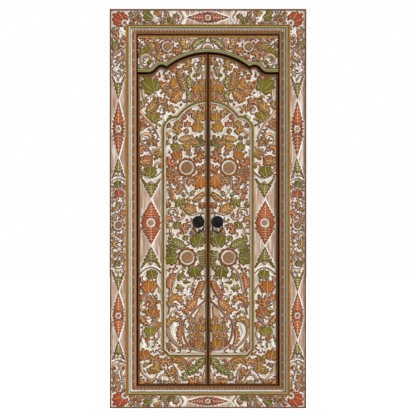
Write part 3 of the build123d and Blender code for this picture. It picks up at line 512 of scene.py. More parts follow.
def panel_layout():
    """The tall arched panel."""
    return [
        ribbon(26, (-150, 486), (-190, 482), (-216, 450), (-219, 415), (-202, 378), (-170, 346), (-134, 326)),
        acanthus(26, (-220, 448), (-200, 488), (-152, 476), tint="gold", sides=(1,)),
        stem(13, (-186, 456), (-198, 421), (-180, 382), (-148, 352), tint="white", ends=(0.7, 0.7)),
        acanthus(24, (-134, 478), (-152, 432), (-152, 384), (-138, 356), tint="orange", sides=(-1,), n=5),
        each(
            leaf, (-133, 452, 12, 80, "terracotta", 3), (-128, 334, 13, 60, "terracotta", 3),
            (-206, 334, 16, 200, "orange", 3), (-188, 322, 11, 250, "ochre", 3),
        ),
        ribbon(14, (-104, 500), (-128, 478), (-132, 412), (-116, 362), (-84, 326), (-22, 312), ends=WIDE),
        stem(7, (-79, 453), (-102, 412), (-106, 371), (-80, 332), tint="white"),
        [Motif([(-62, 366, -62, 452, 44, 40), (-62, 366, -30, 340, 30, 26)], "brown", LEAF, 0.45)],
        each(
            leaf, (-104, 488, 17, 90, "gold"), (-84, 424, 20, 100, "gold"), (-86, 378, 20, 120, "gold"),
            (-40, 440, 25, 90, "gold"), (-52, 392, 20, 70), (-50, 346, 27, 90, "ochre", 7),
        ),
        lattice(-30, 556, -48, 492, 26.0, "brown"),
        ribbon(13, (-14, 592), (-60, 548), (-104, 500), ends=EVEN),
        leaf(-26, 478, 15, 90, "ochre", 3),
        acanthus(30, (-24, 694), (-40, 648), (-62, 596), tint="orange", sides=(-1,), n=5),
        acanthus(30, (-62, 590), (-90, 566), (-128, 520), tint="orange", sides=(-1, 1)),
        acanthus(30, (-212, 560), (-196, 600), (-164, 606), (-146, 578), sides=(1,), n=5),
        ribbon(12, (-216, 520), (-204, 560), (-180, 576), (-160, 566)),
        curl(-182, 516, 20, 200, 20, 7),
        leaf(-204, 632, 12, 120, "ochre", 3),
        each(curl, (-102, 600, 15, 0, 240, 7), (-92, 655, 19, 200, -10, 7), (-58, 712, 16, 220, 0, 6)),
        bud(-112, 694, 46, 24, 0, "olive"),
        each(leaf, (-146, 722, 20, 120), (-150, 664, 18, 240), tint="olive", n=3),
        acanthus(28, (-206, 656), (-206, 696), (-190, 734), tint="orange"),
        each(ball, (-206, 768, 8), (-187, 768, 8), tint="orange"),
        stem(8, (-194, 650), (-184, 695), (-165, 745), (-135, 776)),
        flower(-112, 830, 55, 11, turn=22),
        each(leaf, (-196, 826, 30, 180), (-190, 882, 27, 160), tint="green"),
        acanthus(30, (-128, 890), (-165, 908), (-214, 936), tint="green"),
        each(
            leaf, (-54, 918, 34, 95, "green", 7), (-28, 966, 18, 80, "green", 3),
            (-34, 842, 23, 10, "green", 3), (-34, 790, 21, -20, "green", 3), (-72, 756, 30, 280, "green"),
        ),
        each(curl, (-152, 958, 14, 270, 60, 6), (-182, 976, 26, 80, 250, 8, "stem", None)),
        each(leaf, (-166, 1005, 20, 90, "olive"), (-116, 986, 22, 80, "orange")),
        curl(-152, 1070, 32, 190, 350, 8, "stem", None),
        bud(-138, 1070, 30, 20, 90),
        curl(-188, 1078, 28, 200, 10, 9, "gold", None),
        acanthus(36, (-66, 1078), (-92, 1092), (-122, 1114), tint="gold", n=3),
        stem(8, (-88, 1068), (-50, 1074), (-20, 1092)),
        each(
            leaf, (-150, 1138, 25, 280, "olive", 3), (-198, 1196, 16, 160, "orange", 3),
            (-168, 1204, 17, 60, "orange", 3), (-190, 1162, 16, 200, "orange", 3),
        ),
        ball(-214, 1150, 7, "terracotta"),
        leaf(-145, 1222, 16, 60, "ochre", 3),
        curl(-190, 1234, 15, 250, 20, 6),
        acanthus(28, (-76, 1146), (-50, 1166), (-24, 1192), tint="gold", sides=(-1,), n=3),
        bud(-62, 1208, 26, 16, 200, "brown"),
        curl(-92, 1206, 26, 250, 60, 9, "white", None),
        stem(7, (-120, 1262), (-126, 1220), (-96, 1170)),
        flower(-115, 1328, 55, 11),
        each(
            leaf, (-196, 1362, 24, 170, "terracotta"), (-192, 1310, 23, 190, "orange", 3),
            (-200, 1270, 22, 200, "orange", 3), (-162, 1262, 22, 250, "orange", 3),
            (-44, 1256, 34, 250, "orange", 7),
        ),
        ball(-42, 1300, 13, "terracotta"),
        each(
            leaf, (-90, 1246, 18, 200, "orange", 3), (-32, 1332, 22, 0, "orange"),
            (-60, 1396, 28, 60, "orange"), (-168, 1392, 25, 120, "orange"),
        ),
        ball(-36, 1414, 9, "gold"),
        leaf(-46, 1462, 26, 110, "green"),
        curl(-140, 1438, 17, 0, 250, 7),
        each(leaf, (-178, 1442, 20, 110, "olive"), (-90, 1448, 29, 60, "gold")),
        acanthus(24, (-152, 1480), (-116, 1488), (-78, 1496), tint="gold"),
        curl(-196, 1510, 26, -10, 220, 8),
        each(leaf, (-152, 1547, 26, 100, "gold"), (-110, 1565, 16, 90, "terracotta", 3)),
        bud(-142, 1588, 24, 16, 120),
        leaf(-54, 1548, 26, 80, "gold"),
        ball(-33, 1502, 10, "gold"),
        each(
            leaf, (-44, 1606, 27, 100, "gold"), (-92, 1620, 20, 120, "ochre", 3),
            (-30, 1654, 20, 90, "ochre", 3),
        ),
    ]


def crown_layout():
    """The field over the panel's arch."""
    return [
        each(
            leaf, (-348, 1829, 17, 90, "orange", 3), (-370, 1826, 12, 120, "orange", 3),
            (-312, 1778, 44, 120, "olive", 7),
        ),
        stem(10, (-356, 1752), (-355, 1724), (-345, 1700), (-312, 1674)),
        acanthus(34, (-332, 1642), (-304, 1660), (-284, 1688), tint="gold", n=3),
        curl(-300, 1712, 14, 180, -20, 7),
        each(bud, (-264, 1842, 34, 16, 90), (-240, 1852, 26, 13, 90), tint="orange"),
        ball(-258, 1800, 11, "terracotta"),
        leaf(-295, 1830, 14, 60, "red", 3),
        ball(-207, 1852, 8, "terracotta"),
        leaf(-250, 1705, 22, 200, "orange", 3),
        acanthus(44, (-118, 1757), (-160, 1772), (-204, 1800)),
        each(leaf, (-232, 1776, 18, 200), (-214, 1745, 20, 220), tint="ochre", n=3),
        acanthus(34, (-122, 1760), (-138, 1810), (-166, 1876), n=5),
        curl(-134, 1838, 15, 260, 60, 6),
        acanthus(32, (-140, 1746), (-172, 1724), (-190, 1690), n=3),
        acanthus(24, (-104, 1768), (-98, 1800), (-112, 1832), tint="olive", n=3),
        acanthus(24, (-110, 1750), (-96, 1722), (-104, 1692), tint="olive", n=3),
        bud(-90, 1866, 30, 18, 90),
        ball(-68, 1838, 11, "olive"),
        acanthus(20, (-60, 1832), (-48, 1860), (-34, 1892), tint="olive", n=3),
        bud(-26, 1836, 60, 22, 270, "pink"),
        each(
            leaf, (-50, 1766, 32, 270, "ochre", 7), (-30, 1800, 17, 90, "ochre", 3), (-30, 1722, 22, 270),
            (-68, 1718, 17, 240, "orange", 3), (-214, 1668, 20, 200, "gold", 3),
        ),
        each(curl, (-176, 1646, 20, 20, 220, 7), (-246, 1650, 15, 220, 20, 6)),
        each(ball, (-145, 1676, 7), (-128, 1700, 6), tint="red"),
        leaf(-122, 1902, 24, 60, "gold"),
        stem(8, (-64, 1872), (-76, 1898), (-62, 1924)),
        each(
            leaf, (-36, 1924, 19, 60, "ochre", 3), (-160, 1906, 16, 120, "ochre", 3),
            (-186, 1870, 16, 120, "orange", 3),
        ),
        ball(-90, 1930, 7, "orange"),
    ]


def transom_layout():
    """The carving over the arch."""
    return [
        flower(-222, 1996, 40, 9, turn=22),
        each(
            leaf, (-284, 1990, 27, 170, "orange"), (-164, 1992, 25, 20, "orange"),
            (-256, 1944, 22, 230, "orange", 3), (-214, 1940, 14, 270, "terracotta", 3),
            (-242, 2042, 13, 90, "orange", 3), (-212, 2043, 13, 90, "orange", 3),
            (-350, 2034, 19, 120, "brown"), (-374, 2000, 13, 180, "red", 3),
            (-314, 1996, 22, 200, "gold", 3), (-350, 1956, 28, 120, "olive"),
        ),
        curl(-338, 1922, 33, 250, -40, 9, "stem", "olive"),
        acanthus(26, (-112, 1984), (-138, 2016), (-130, 2046), tint="gold", n=3),
        each(leaf, (-98, 2030, 19, 80, "pink", 3), (-88, 1986, 14, 60, "orange", 3)),
        acanthus(22, (-76, 1990), (-66, 2012), (-42, 2028), (-4, 2042), tint="green", n=6),
        each(leaf, (-300, 2040, 14, 60), (-180, 2036, 15, 60), (-300, 1956, 15, 250), tint="ochre", n=3),
    ]


def jamb_layout():
    """A side casing board, from the foot up."""
    return [
        each(
            leaf, (-514, 108, 14, 250, "orange", 3), (-497, 112, 14, 60, "orange", 3),
            (-512, 142, 13, 120, "gold", 3), (-490, 137, 12, 60, "gold", 3),
            (-505, 168, 16, 110, "orange", 3),
        ),
        each(ball, (-520, 200, 5), (-495, 197, 5), (-478, 195, 5), tint="terracotta"),
        stem(7, (-462, 120), (-466, 160), (-480, 190)),
        each(curl, (-506, 230, 18, -60, 230, 7), (-472, 226, 13, 240, -30, 6), tint="stem", tip="brown"),
        band(-492, 252, 36, 18, 10),
        ball(-492, 280, 6, "pink"),
        scales(-492, 376, 296, 28),
        lozenge(-492, 511, 35, 128),
        scales(-492, 645, 726, 28),
        ball(-492, 750, 8, "pink"),
        band(-492, 782, 36, -18, 10),
        each(
            leaf, (-500, 797, 17, 90, "green"), (-468, 815, 12, 60, "gold", 3),
            (-502, 845, 14, 120, "orange", 3), (-474, 842, 13, 60, "orange", 3),
        ),
        each(ball, (-520, 880, 5), (-470, 880, 5), tint="terracotta"),
        stem(7, (-462, 850), (-470, 880), (-492, 892)),
        leaf(-502, 904, 18, 120, "gold", 3),
        ball(-512, 930, 5, "terracotta"),
        leaf(-480, 946, 15, 60, "orange", 3),
        ball(-517, 965, 5, "terracotta"),
        flower(-492, 1010, 36, 9),
        stem(8, (-520, 1048), (-505, 1066), (-485, 1080), tint="red"),
        each(leaf, (-515, 1094, 13, 120, "orange", 3), (-492, 1118, 14, 60, "gold", 3)),
        each(ball, (-520, 1140, 5), (-465, 1140, 5), tint="terracotta"),
        curl(-492, 1178, 32, -60, 220, 7, "stem", "brown"),
        leaf(-490, 1180, 20, 90, "red"),
        curl(-468, 1212, 12, 240, 40, 5, "stem", "brown"),
        leaf(-494, 1232, 18, 100, "green"),
        band(-492, 1255, 36, 16, 10),
        ball(-492, 1282, 6, "pink"),
        scales(-492, 1385, 1298, 28),
        lozenge(-492, 1540, 36, 152),
        scales(-492, 1700, 1796, 28),
        ball(-492, 1818, 8, "pink"),
        band(-492, 1860, 36, -22, 11),
        each(ball, (-515, 1888, 5), (-500, 1890, 5), tint="terracotta"),
        leaf(-472, 1882, 12, 60, "green", 3),
        ball(-506, 1908, 6, "terracotta"),
        acanthus(18, (-494, 1912), (-480, 1928), (-460, 1942), tint="gold", n=3),
        stem(7, (-524, 1920), (-514, 1946), (-490, 1956)),
        leaf(-506, 1968, 14, 100, "orange", 3),
        curl(-474, 1994, 20, -10, -160, 6),
        each(leaf, (-510, 2002, 21, 120, "green", 3), (-510, 2054, 20, 90, "orange")),
        curl(-470, 2050, 16, 220, 30, 6, "white", None),
    ]


def corner_layout(x, z, wx, wz):
    """A corner fan: a broad red leaf towards the corner, a pale ring and a gold leaf turned back."""
    toward = math.degrees(math.atan2(0.8 * wz, wx))
    out = leaf(x + 1.0 * wx, z + 1.0 * wz, 62.0 / LEAF_SIZE, toward, "red", 7)
    out += ring(x - 19.0 * wx, z - 15.0 * wz, 14.0, 4.0, "white", 20)
    out += leaf(x - 19.0 * wx, z - 15.0 * wz, 12.0 / LEAF_SIZE, toward + 180.0, "gold")
    return out


def rail_layout():
    """A casing rail's left half, with heights from the middle of its carving."""
    return [
        curl(-388, -6, 24, -80, 200, 8, "grey", "brown"),
        each(
            leaf, (-384, -8, 15, 30, "brown", 3), (-424, 16, 13, 30, "orange", 3),
            (-420, -22, 13, 330, "orange", 3), (-348, 24, 12, 60, "ochre", 3),
            (-344, -22, 13, 300, "brown", 3), (-322, 6, 24, 150, "green"),
        ),
        stem(7, (-312, 30), (-292, 4), (-268, -26), tint="white"),
        each(
            leaf, (-280, 20, 16, 60, "gold", 3), (-300, -26, 11, 250, "orange", 3),
            (-250, -18, 14, 300, "brown", 3), (-235, 10, 17, 60, "brown"), (-200, -14, 19, 250, "green"),
        ),
        curl(-196, 18, 14, 250, 40, 6, "white", None),
        leaf(-174, 4, 14, 90, "brown", 3),
        stem(6, (-164, 32), (-146, 0), (-164, -32), tint="white", ends=(1, 1)),
        stem(5, (-154, 33), (-136, 0), (-154, -33), tint="brown", ends=(1, 1)),
        stem(6, (-144, 34), (-126, 0), (-144, -34), tint="white", ends=(1, 1)),
    ]


def flat(groups):
    """One list of motifs from a layout, with the flowers and bosses cut last, over their neighbours."""
    order = {PETALS: 1, BOSS: 2, DISC: 3}
    return sorted([m for group in groups for m in group], key=lambda m: order.get(m.style, 0))


# Carving of a board
def offsets(px, pz, lines):
    """Where each point lies from the nearest point of each line, and how far along that is."""
    ax, az, bx, bz = [lines[:, i : i + 1] for i in range(4)]
    ux, uz = bx - ax, bz - az
    t = np.clip(((px - ax) * ux + (pz - az) * uz) / (ux * ux + uz * uz + 1e-9), 0.0, 1.0)
    return px - (ax + t * ux), pz - (az + t * uz), t


def measure(px, pz, strokes):
    """Signed distance to the strokes, its direction, and how far across the nearest stroke a point lies."""
    dx, dz, t = offsets(px, pz, strokes)
    ra, rb = strokes[:, 4:5], strokes[:, 5:6]
    d = np.sqrt(dx * dx + dz * dz) + 1e-6
    r = ra + (rb - ra) * t
    s = d - r
    k = np.argmin(s, axis=0)
    at = (k, np.arange(len(px)))
    return s[at], dx[at] / d[at], dz[at] / d[at], np.minimum(d[at] / r[at], 1.0)


def nearest(px, pz, lines):
    """The distance to the nearest of the lines, up to a limit."""
    dx, dz, _ = offsets(px, pz, lines)
    return np.minimum(np.hypot(dx, dz).min(axis=0), DEEP)


def carve(x, z, motifs, reach=REACH):
    """What the motifs make of the points of a board: edge distance, direction, colour and form."""
    n = x.size
    out = {
        "edge": np.full(n, reach),
        "nx": np.zeros(n),
        "nz": np.zeros(n),
        "tint": np.tile(np.array(TINTS["white"]), (n, 1)),
        "across": np.ones(n),
        "vein": np.full(n, DEEP),
        "style": np.zeros(n),
        "rise": np.ones(n),
        "shade_strength": np.ones(n),
        "floor": np.zeros(n),
    }
    px, pz = x.ravel(), z.ravel()
    for m in motifs:
        s = m.strokes
        wide = max(s[:, 4].max(), s[:, 5].max()) + reach
        x0, x1 = min(s[:, 0].min(), s[:, 2].min()) - wide, max(s[:, 0].max(), s[:, 2].max()) + wide
        z0, z1 = min(s[:, 1].min(), s[:, 3].min()) - wide, max(s[:, 1].max(), s[:, 3].max()) + wide
        at = np.nonzero((px > x0) & (px < x1) & (pz > z0) & (pz < z1))[0]
        if not len(at):
            continue
        d, nx, nz, q = measure(px[at], pz[at], s)
        old = out["edge"][at]
        cut = GROOVE - d
        lower = np.maximum(old, cut)
        mine = d <= lower
        trench = ~mine & (cut > old)
        shallow = trench & (old < 0)
        out["floor"][at[shallow]] = 0.35
        take = at[mine]
        out["edge"][at] = np.where(mine, d, lower)
        out["nx"][take], out["nz"][take] = nx[mine], nz[mine]
        out["nx"][at[trench]], out["nz"][at[trench]] = -nx[trench], -nz[trench]
        tone = 1.0 + 0.13 * math.sin(abs(s[0, 0]) * 0.37 + s[0, 1] * 0.23)
        out["tint"][take] = np.array(TINTS[m.tint]) * tone
        out["across"][take] = q[mine]
        out["vein"][take] = DEEP if m.veins is None else nearest(px[take], pz[take], m.veins)
        out["style"][take] = m.style
        out["rise"][take] = m.rise
        out["shade_strength"][take] = SHADE_STRENGTH.get(m.tint, 1.0)
    return out


def sprig(kind, x, z, size, angle, tint, turn):
    """A filling motif of about the given radius, with its foot behind it."""
    if kind == "leaf":
        return leaf(x, z, size / (0.9 * LEAF_SIZE), angle, tint, 3 if size < 13.0 else 5)
    if kind == "comma" and size < 20.0:
        return leaf(x, z, size / (0.9 * LEAF_SIZE), angle, tint, 3)
    if kind == "comma":
        return hooked_leaf(x, z, size, angle, tint, turn)
    if kind == "scroll":
        return curl(x, z, 0.72 * size, angle, angle + turn * 265, 0.44 * size / CURL_SIZE, "white", tint)
    return curl(x, z, 0.70 * size, angle, angle + turn * 230, 0.46 * size / CURL_SIZE, tint, tint)


def fill(motifs, x, z, inside, gap, seed, small=12.0, most=260):
    """Leaves, commas, scrolls and knobs in the bare ground, each grown from its neighbour."""
    hand = np.random.default_rng(seed)
    reach = 30.0
    extra = []
    x, z = x[inside].ravel(), z[inside].ravel()
    c = carve(x, z, motifs, reach)
    edge, tint = c["edge"], c["tint"]
    nx, nz = c["nx"], c["nz"]
    warm = ("ochre", "ochre", "gold", "orange", "orange", "terracotta")
    for _ in range(most):
        k = int(np.argmax(edge))
        if edge[k] < gap:
            break
        room = edge[k]
        way = math.degrees(math.atan2(nz[k], nx[k]))
        angle = way + hand.uniform(-50.0, 50.0)
        name = warm[int(hand.integers(len(warm)))]
        leafy = tint[k][1] > 0.75 * tint[k][0] and tint[k][2] < 0.1
        if hand.random() < (0.7 if leafy else 0.12):
            name = "olive" if hand.random() < 0.5 else "green"
        pick = hand.random()
        kind = "leaf" if pick < 0.34 else "comma" if pick < 0.72 else "scroll" if pick < 0.86 else "knob"
        if room < 0.5 * small + 6.5:
            kind = "knob"
        turn = 1 if hand.random() < 0.5 else -1
        size = max(room * hand.uniform(1.02, 1.22), small)
        new = []
        if room > 11.0 and kind in ("leaf", "comma"):
            start = (x[k] - nx[k] * room, z[k] - nz[k] * room)
            foot = polar(x[k], z[k], 0.6 * size, angle + 180)
            bend = polar((start[0] + foot[0]) / 2, (start[1] + foot[1]) / 2, 3.0, way + turn * 90)
            new += stem(3.4, start, bend, foot)
        new += sprig(kind, x[k], z[k], size, angle, name, turn)
        extra += new
        d = carve(x, z, new, reach)
        closer = d["edge"] < edge
        edge = np.where(closer, d["edge"], edge)
        edge[k] = min(edge[k], 0.0)
        nx, nz = np.where(closer, d["nx"], nx), np.where(closer, d["nz"], nz)
        tint = np.where(closer[:, None], d["tint"], tint)
    return extra


def swell(x, z, seed):
    """A slow unevenness between -1 and 1, as a hand tool leaves it."""
    a = np.sin(x * 0.071 + seed) * np.cos(z * 0.053 - seed * 1.7)
    b = np.sin(x * 0.19 - z * 0.11 + seed * 2.3)
    c = np.sin(x * 0.13 + z * 0.23 + seed * 0.7)
    return (a + 0.6 * b + 0.5 * c) / 2.1


def form(c, x, z, seed):
    """How high the carving stands at each point, from 0 at the ground to 1 at the top."""
    q, style = c["across"], c["style"]
    dome = np.sqrt(np.maximum(0.0, 1.0 - q * q))
    pillow = 1.0 - np.exp(np.minimum(c["edge"], 0.0) / 4.5)
    leafy = 0.52 + 0.42 * pillow - 0.26 * np.maximum(0.0, 1.0 - c["vein"] / 2.2)
    leafy += 0.06 * np.sin(np.minimum(c["vein"], 6.0) * 0.9)
    stroke = 0.52 + 0.36 * dome - 0.20 * np.maximum(0.0, 1.0 - q / 0.4)
    petal = 0.54 + 0.40 * dome
    boss = 0.62 + 0.38 * dome
    disc = 0.66 + 0.10 * np.cos(q * math.pi * 3.0) + 0.10 * dome
    ribs = 0.56 + 0.26 * dome + 0.09 * np.cos(q * RIBS)
    kinds = [style == kind for kind in (STEM, BOSS, DISC, PETALS, RIBBON, SEAT)]
    top = np.select(kinds, [stroke, boss, disc, petal, ribs, np.ones_like(q)], leafy)
    top = top * c["rise"] + 0.035 * swell(x, z, seed + 5)
    ground = 0.035 + 0.06 * swell(x, z, seed)
    ground = np.maximum(ground, c["floor"] * np.clip(1.6 - c["edge"] / GROOVE, 0.0, 1.0))
    wall = np.clip((c["edge"] - 0.15) / (WALL - 0.3), 0.0, 1.0)
    return np.clip(top * (1.0 - wall) + ground * wall, 0.0, 1.0)


def snapped(x, z, motifs, step, free):
    """The points, with those near an outline moved onto it, so that edges run clean."""
    c = carve(x, z, motifs)
    e = c["edge"]
    goal = np.where((e > -step / 2) & (e < WALL / 2), 0.0, e)
    goal = np.where((e >= WALL / 2) & (e < WALL / 2 + step * 0.62), WALL, goal)
    move = (goal - e) * free
    return x + (move * c["nx"]).reshape(x.shape), z + (move * c["nz"]).reshape(z.shape)


# Meshes
def make_mesh(name, verts, faces, attributes=None, smooth_angle=38.0):
    """A mesh object from points in millimetres and faces."""
    mesh = bpy.data.meshes.new(name)
    if isinstance(faces, np.ndarray):
        sizes = np.full(len(faces), faces.shape[1])
        loops = faces.ravel()
    else:
        sizes = np.array([len(f) for f in faces])
        loops = np.concatenate([np.asarray(f) for f in faces])
    mesh.vertices.add(len(verts))
    mesh.vertices.foreach_set("co", (np.asarray(verts) / 1000.0).ravel())
    mesh.loops.add(len(loops))
    mesh.loops.foreach_set("vertex_index", loops.astype(np.int32))
    mesh.polygons.add(len(sizes))
    starts = np.concatenate([[0], np.cumsum(sizes)[:-1]]).astype(np.int32)
    mesh.polygons.foreach_set("loop_start", starts)
    mesh.update(calc_edges=True)
    for key, values in (attributes or {}).items():
        values = np.asarray(values, float)
        if values.ndim == 2:
            layer = mesh.attributes.new(key, "FLOAT_COLOR", "POINT")
            layer.data.foreach_set("color", np.column_stack([values, np.ones(len(values))]).ravel())
        else:
            layer = mesh.attributes.new(key, "FLOAT", "POINT")
            layer.data.foreach_set("value", values)
    mesh.validate()
    mesh.polygons.foreach_set("use_smooth", np.ones(len(mesh.polygons), bool))
    mesh.set_sharp_from_angle(angle=math.radians(smooth_angle))
    return in_scene(name, mesh)


def in_scene(name, data):
    """An object for the data, linked into the scene."""
    obj = bpy.data.objects.new(name, data)
    bpy.context.scene.collection.objects.link(obj)
    return obj


def split_quads(ids, height):
    """Two triangles for each cell of the grid, cut along its more level diagonal."""
    a, b = ids[:-1, :-1].ravel(), ids[1:, :-1].ravel()
    c, d = ids[1:, 1:].ravel(), ids[:-1, 1:].ravel()
    level = np.abs(height[a] - height[c]) <= np.abs(height[b] - height[d])
    first = np.where(level[:, None], np.stack([a, b, c], 1), np.stack([a, b, d], 1))
    second = np.where(level[:, None], np.stack([a, c, d], 1), np.stack([b, c, d], 1))
    return np.concatenate([first, second])


def board_mesh(name, x, z, y, back, attributes, flip):
    """A closed board from a grid of its face: columns run up or along, and its back is plain."""
    nu, nv = x.shape
    ids = np.arange(nu * nv).reshape(nu, nv)
    front = np.column_stack([x.ravel(), y.ravel(), z.ravel()])
    tris = split_quads(ids, y.ravel())
    low = np.column_stack([x[:, 0], np.full(nu, back), z[:, 0]])
    high = np.column_stack([x[:, -1], np.full(nu, back), z[:, -1]])
    verts = np.concatenate([front, low, high])
    lo, hi = nu * nv + np.arange(nu), nu * nv + nu + np.arange(nu)
    faces = [list(t) for t in tris]
    for i in range(nu - 1):
        faces.append([ids[i, 0], lo[i], lo[i + 1], ids[i + 1, 0]])
        faces.append([ids[i, -1], ids[i + 1, -1], hi[i + 1], hi[i]])
        faces.append([lo[i], hi[i], hi[i + 1], lo[i + 1]])
    faces.append([hi[0], lo[0]] + list(ids[0, :]))
    faces.append([lo[-1], hi[-1]] + list(ids[-1, ::-1]))
    if flip:
        faces = [f[::-1] for f in faces]
    padded = {}
    for key, values in attributes.items():
        tail = values[np.concatenate([ids[:, 0], ids[:, -1]])]
        if key == "plain":
            tail = np.ones_like(tail)
        elif key == "tint":
            tail = np.tile(np.array(BACK_TINT), (len(tail), 1))
        padded[key] = np.concatenate([values, tail])
    return make_mesh(name, verts, faces, padded)


def strip_tint(x, z):
    """The colour of the plain strips: darker on the door's outermost edge than elsewhere."""
    edge = np.minimum(HALF_WIDTH - np.abs(x), np.minimum(z, HEIGHT - z)).reshape(-1, 1)
    return np.where(edge < 12.0, np.array(OUTER_STRIP), np.array(PLAIN_STRIP))


def carved_board(name, x, z, motifs, ground, front, back, seed, step, wash, plain=None):
    """A board whose face carries the motifs; plain gives the height of parts without carving."""
    nu, nv = x.shape
    free = np.ones((nu, nv))
    free[0, :] = free[-1, :] = 0.0
    free[:, 0] = free[:, -1] = 0.0
    if plain is not None:
        free *= plain(x, z)[1]
    x, z = snapped(x, z, motifs, step, free.ravel())
    c = carve(x, z, motifs)
    h = form(c, x.ravel(), z.ravel(), seed)
    attributes = {key: c[key] for key in ("edge", "tint", "across", "style", "shade_strength", "vein")}
    # How far a point lies on the side of its motif away from the light, from 0 to 1; it places the painted
    # shade and the painted shadow
    attributes["shade_side"] = np.clip(-0.8 * c["nx"] - 0.6 * c["nz"], 0.0, 1.0)
    attributes["wash"] = wash(x, z).ravel()
    if plain is not None:
        level, carving = plain(x, z)
        h = np.where(carving.ravel() > 0.5, h, level.ravel())
        attributes["edge"] = np.where(carving.ravel() > 0.5, c["edge"], REACH)
        attributes["plain"] = 1.0 - carving.ravel()
        attributes["tint"] = np.where(carving.reshape(-1, 1) > 0.5, c["tint"], strip_tint(x, z))
    else:
        attributes["plain"] = np.zeros(x.size)
    y = ground + (front - ground) * h
    columns, rows = (x[-1, 0] - x[0, 0], z[-1, 0] - z[0, 0]), (x[0, -1] - x[0, 0], z[0, -1] - z[0, 0])
    turned = columns[0] * rows[1] - columns[1] * rows[0] < 0
    return board_mesh(name, x, z, y.reshape(nu, nv), back, attributes, turned)


def sweep(name, lines, ys, across, closed=False, smooth_angle=38.0):
    """A bar through matching lines: each profile point has its own line in the XZ plane and its depth y."""
    profile = len(lines)
    n = len(lines[0])
    pts = np.zeros((profile, n, 3))
    for i, (line, y) in enumerate(zip(lines, ys)):
        line = np.asarray(line, float)
        pts[i, :, 0], pts[i, :, 2] = line[:, 0], line[:, 1]
        pts[i, :, 1] = y
    middle = pts.mean(axis=0)
    length = np.concatenate([[0.0], np.cumsum(np.linalg.norm(np.diff(middle, axis=0), axis=1))])
    ids = np.arange(profile * n).reshape(profile, n)
    faces = []
    for i in range(profile):
        j = (i + 1) % profile
        for k in range(n if closed else n - 1):
            m = (k + 1) % n
            faces.append([ids[i, k], ids[j, k], ids[j, m], ids[i, m]])
    if not closed:
        faces.append([ids[i, 0] for i in range(profile)][::-1])
        faces.append([ids[i, -1] for i in range(profile)])
    attributes = {"across": np.repeat(np.asarray(across, float), n), "along": np.tile(length, profile)}
    obj = make_mesh(name, pts.reshape(-1, 3), faces, attributes, smooth_angle)
    mesh = obj.data
    mesh.update()
    volume = sum(p.center.dot(p.normal) * p.area for p in mesh.polygons)
    if volume < 0:
        mesh.flip_normals()
    return obj


def meeting(c0, r0, c1, r1):
    """The upper crossing of two circles."""
    dx, dz = c1[0] - c0[0], c1[1] - c0[1]
    dist = math.hypot(dx, dz)
    a = (r0 * r0 - r1 * r1 + dist * dist) / (2 * dist)
    h = math.sqrt(max(0.0, r0 * r0 - a * a))
    ux, uz = dx / dist, dz / dist
    options = [(c0[0] + a * ux - s * h * uz, c0[1] + a * uz + s * h * ux) for s in (1, -1)]
    return max(options, key=lambda p: p[1])


def arc(cx, cz, r, a0, a1, n):
    """Points on a circle between two angles in radians."""
    angles = [a0 + (a1 - a0) * i / n for i in range(n + 1)]
    return [(cx + r * math.cos(a), cz + r * math.sin(a)) for a in angles]


def arch_curve(offset, end_x, start_x=0.0):
    """The right half of the transom's arch line raised by offset, from start_x out to end_x."""
    cz = ARCH_CROWN - ARCH_RADIUS
    sx, sz, sr = SHOULDER
    hx, hz, hr = HAUNCH
    cusp = meeting((0.0, cz), ARCH_RADIUS + offset, (sx, sz), sr + offset)
    top = math.acos(start_x / (ARCH_RADIUS + offset))
    crown = arc(0.0, cz, ARCH_RADIUS + offset, top, math.atan2(cusp[1] - cz, cusp[0]), 40)
    meet = math.atan2(hz - sz, hx - sx)
    bow = arc(sx, sz, sr + offset, math.atan2(cusp[1] - sz, cusp[0] - sx), meet, 14)
    bend = arc(hx, hz, hr - offset, meet + math.pi, 1.5 * math.pi, 10)
    return crown[:-1] + bow + bend[1:] + [(end_x, hz - hr + offset)]


def arch_height(x, offset):
    """The height of the raised arch line at each x."""
    line = np.array(arch_curve(offset, 420.0))
    return np.interp(np.abs(x), line[:, 0], line[:, 1])


def panel_curve(d):
    """The right half of the panel border's line moved inwards by d, from the foot to the crown."""
    x0 = SLOT_HALF + EDGE_STRIP
    sx, sz, sr = PANEL_SHOULDER
    cx, cz, cr = PANEL_CROWN
    k = d * math.tan(math.radians(22.5))
    cusp = meeting((cx, cz), cr - d, (sx, sz), sr - d)
    foot = [(x0, PANEL_FOOT + d), (PANEL_SIDE - PANEL_CHAMFER - k, PANEL_FOOT + d)]
    side = [(PANEL_SIDE - d, PANEL_FOOT + PANEL_CHAMFER + k)]
    bow = arc(sx, sz, sr - d, 0.0, math.atan2(cusp[1] - sz, cusp[0] - sx), 16)
    crown = arc(cx, cz, cr - d, math.atan2(cusp[1] - cz, cusp[0]), math.acos(x0 / (cr - d)), 24)
    return foot + side + bow + crown[1:]


def sided(points, side):
    """Points of the right half put on the given side."""
    return [(side * x, z) for x, z in points]


def both(points):
    """A right half line continued over the left half."""
    return [(-x, z) for x, z in reversed(points)][:-1] + list(points)


def placed(motifs, side, seed, shift=DRAWN_SHIFT):
    """A left half layout on the given side; the right half differs a little, as carving by hand does."""
    hand = np.random.default_rng(seed)
    out = []
    for m in motifs:
        m = m.moved(lambda x, z: (-side * (x - shift), z))
        if side > 0 and m.style != SEAT:
            shift_by, turn = hand.uniform(-1.5, 1.5, 2), hand.uniform(-0.05, 0.05)
            m = m.jittered(shift_by, turn, 1.0 + hand.uniform(-0.03, 0.03))
        out.append(m)
    return out


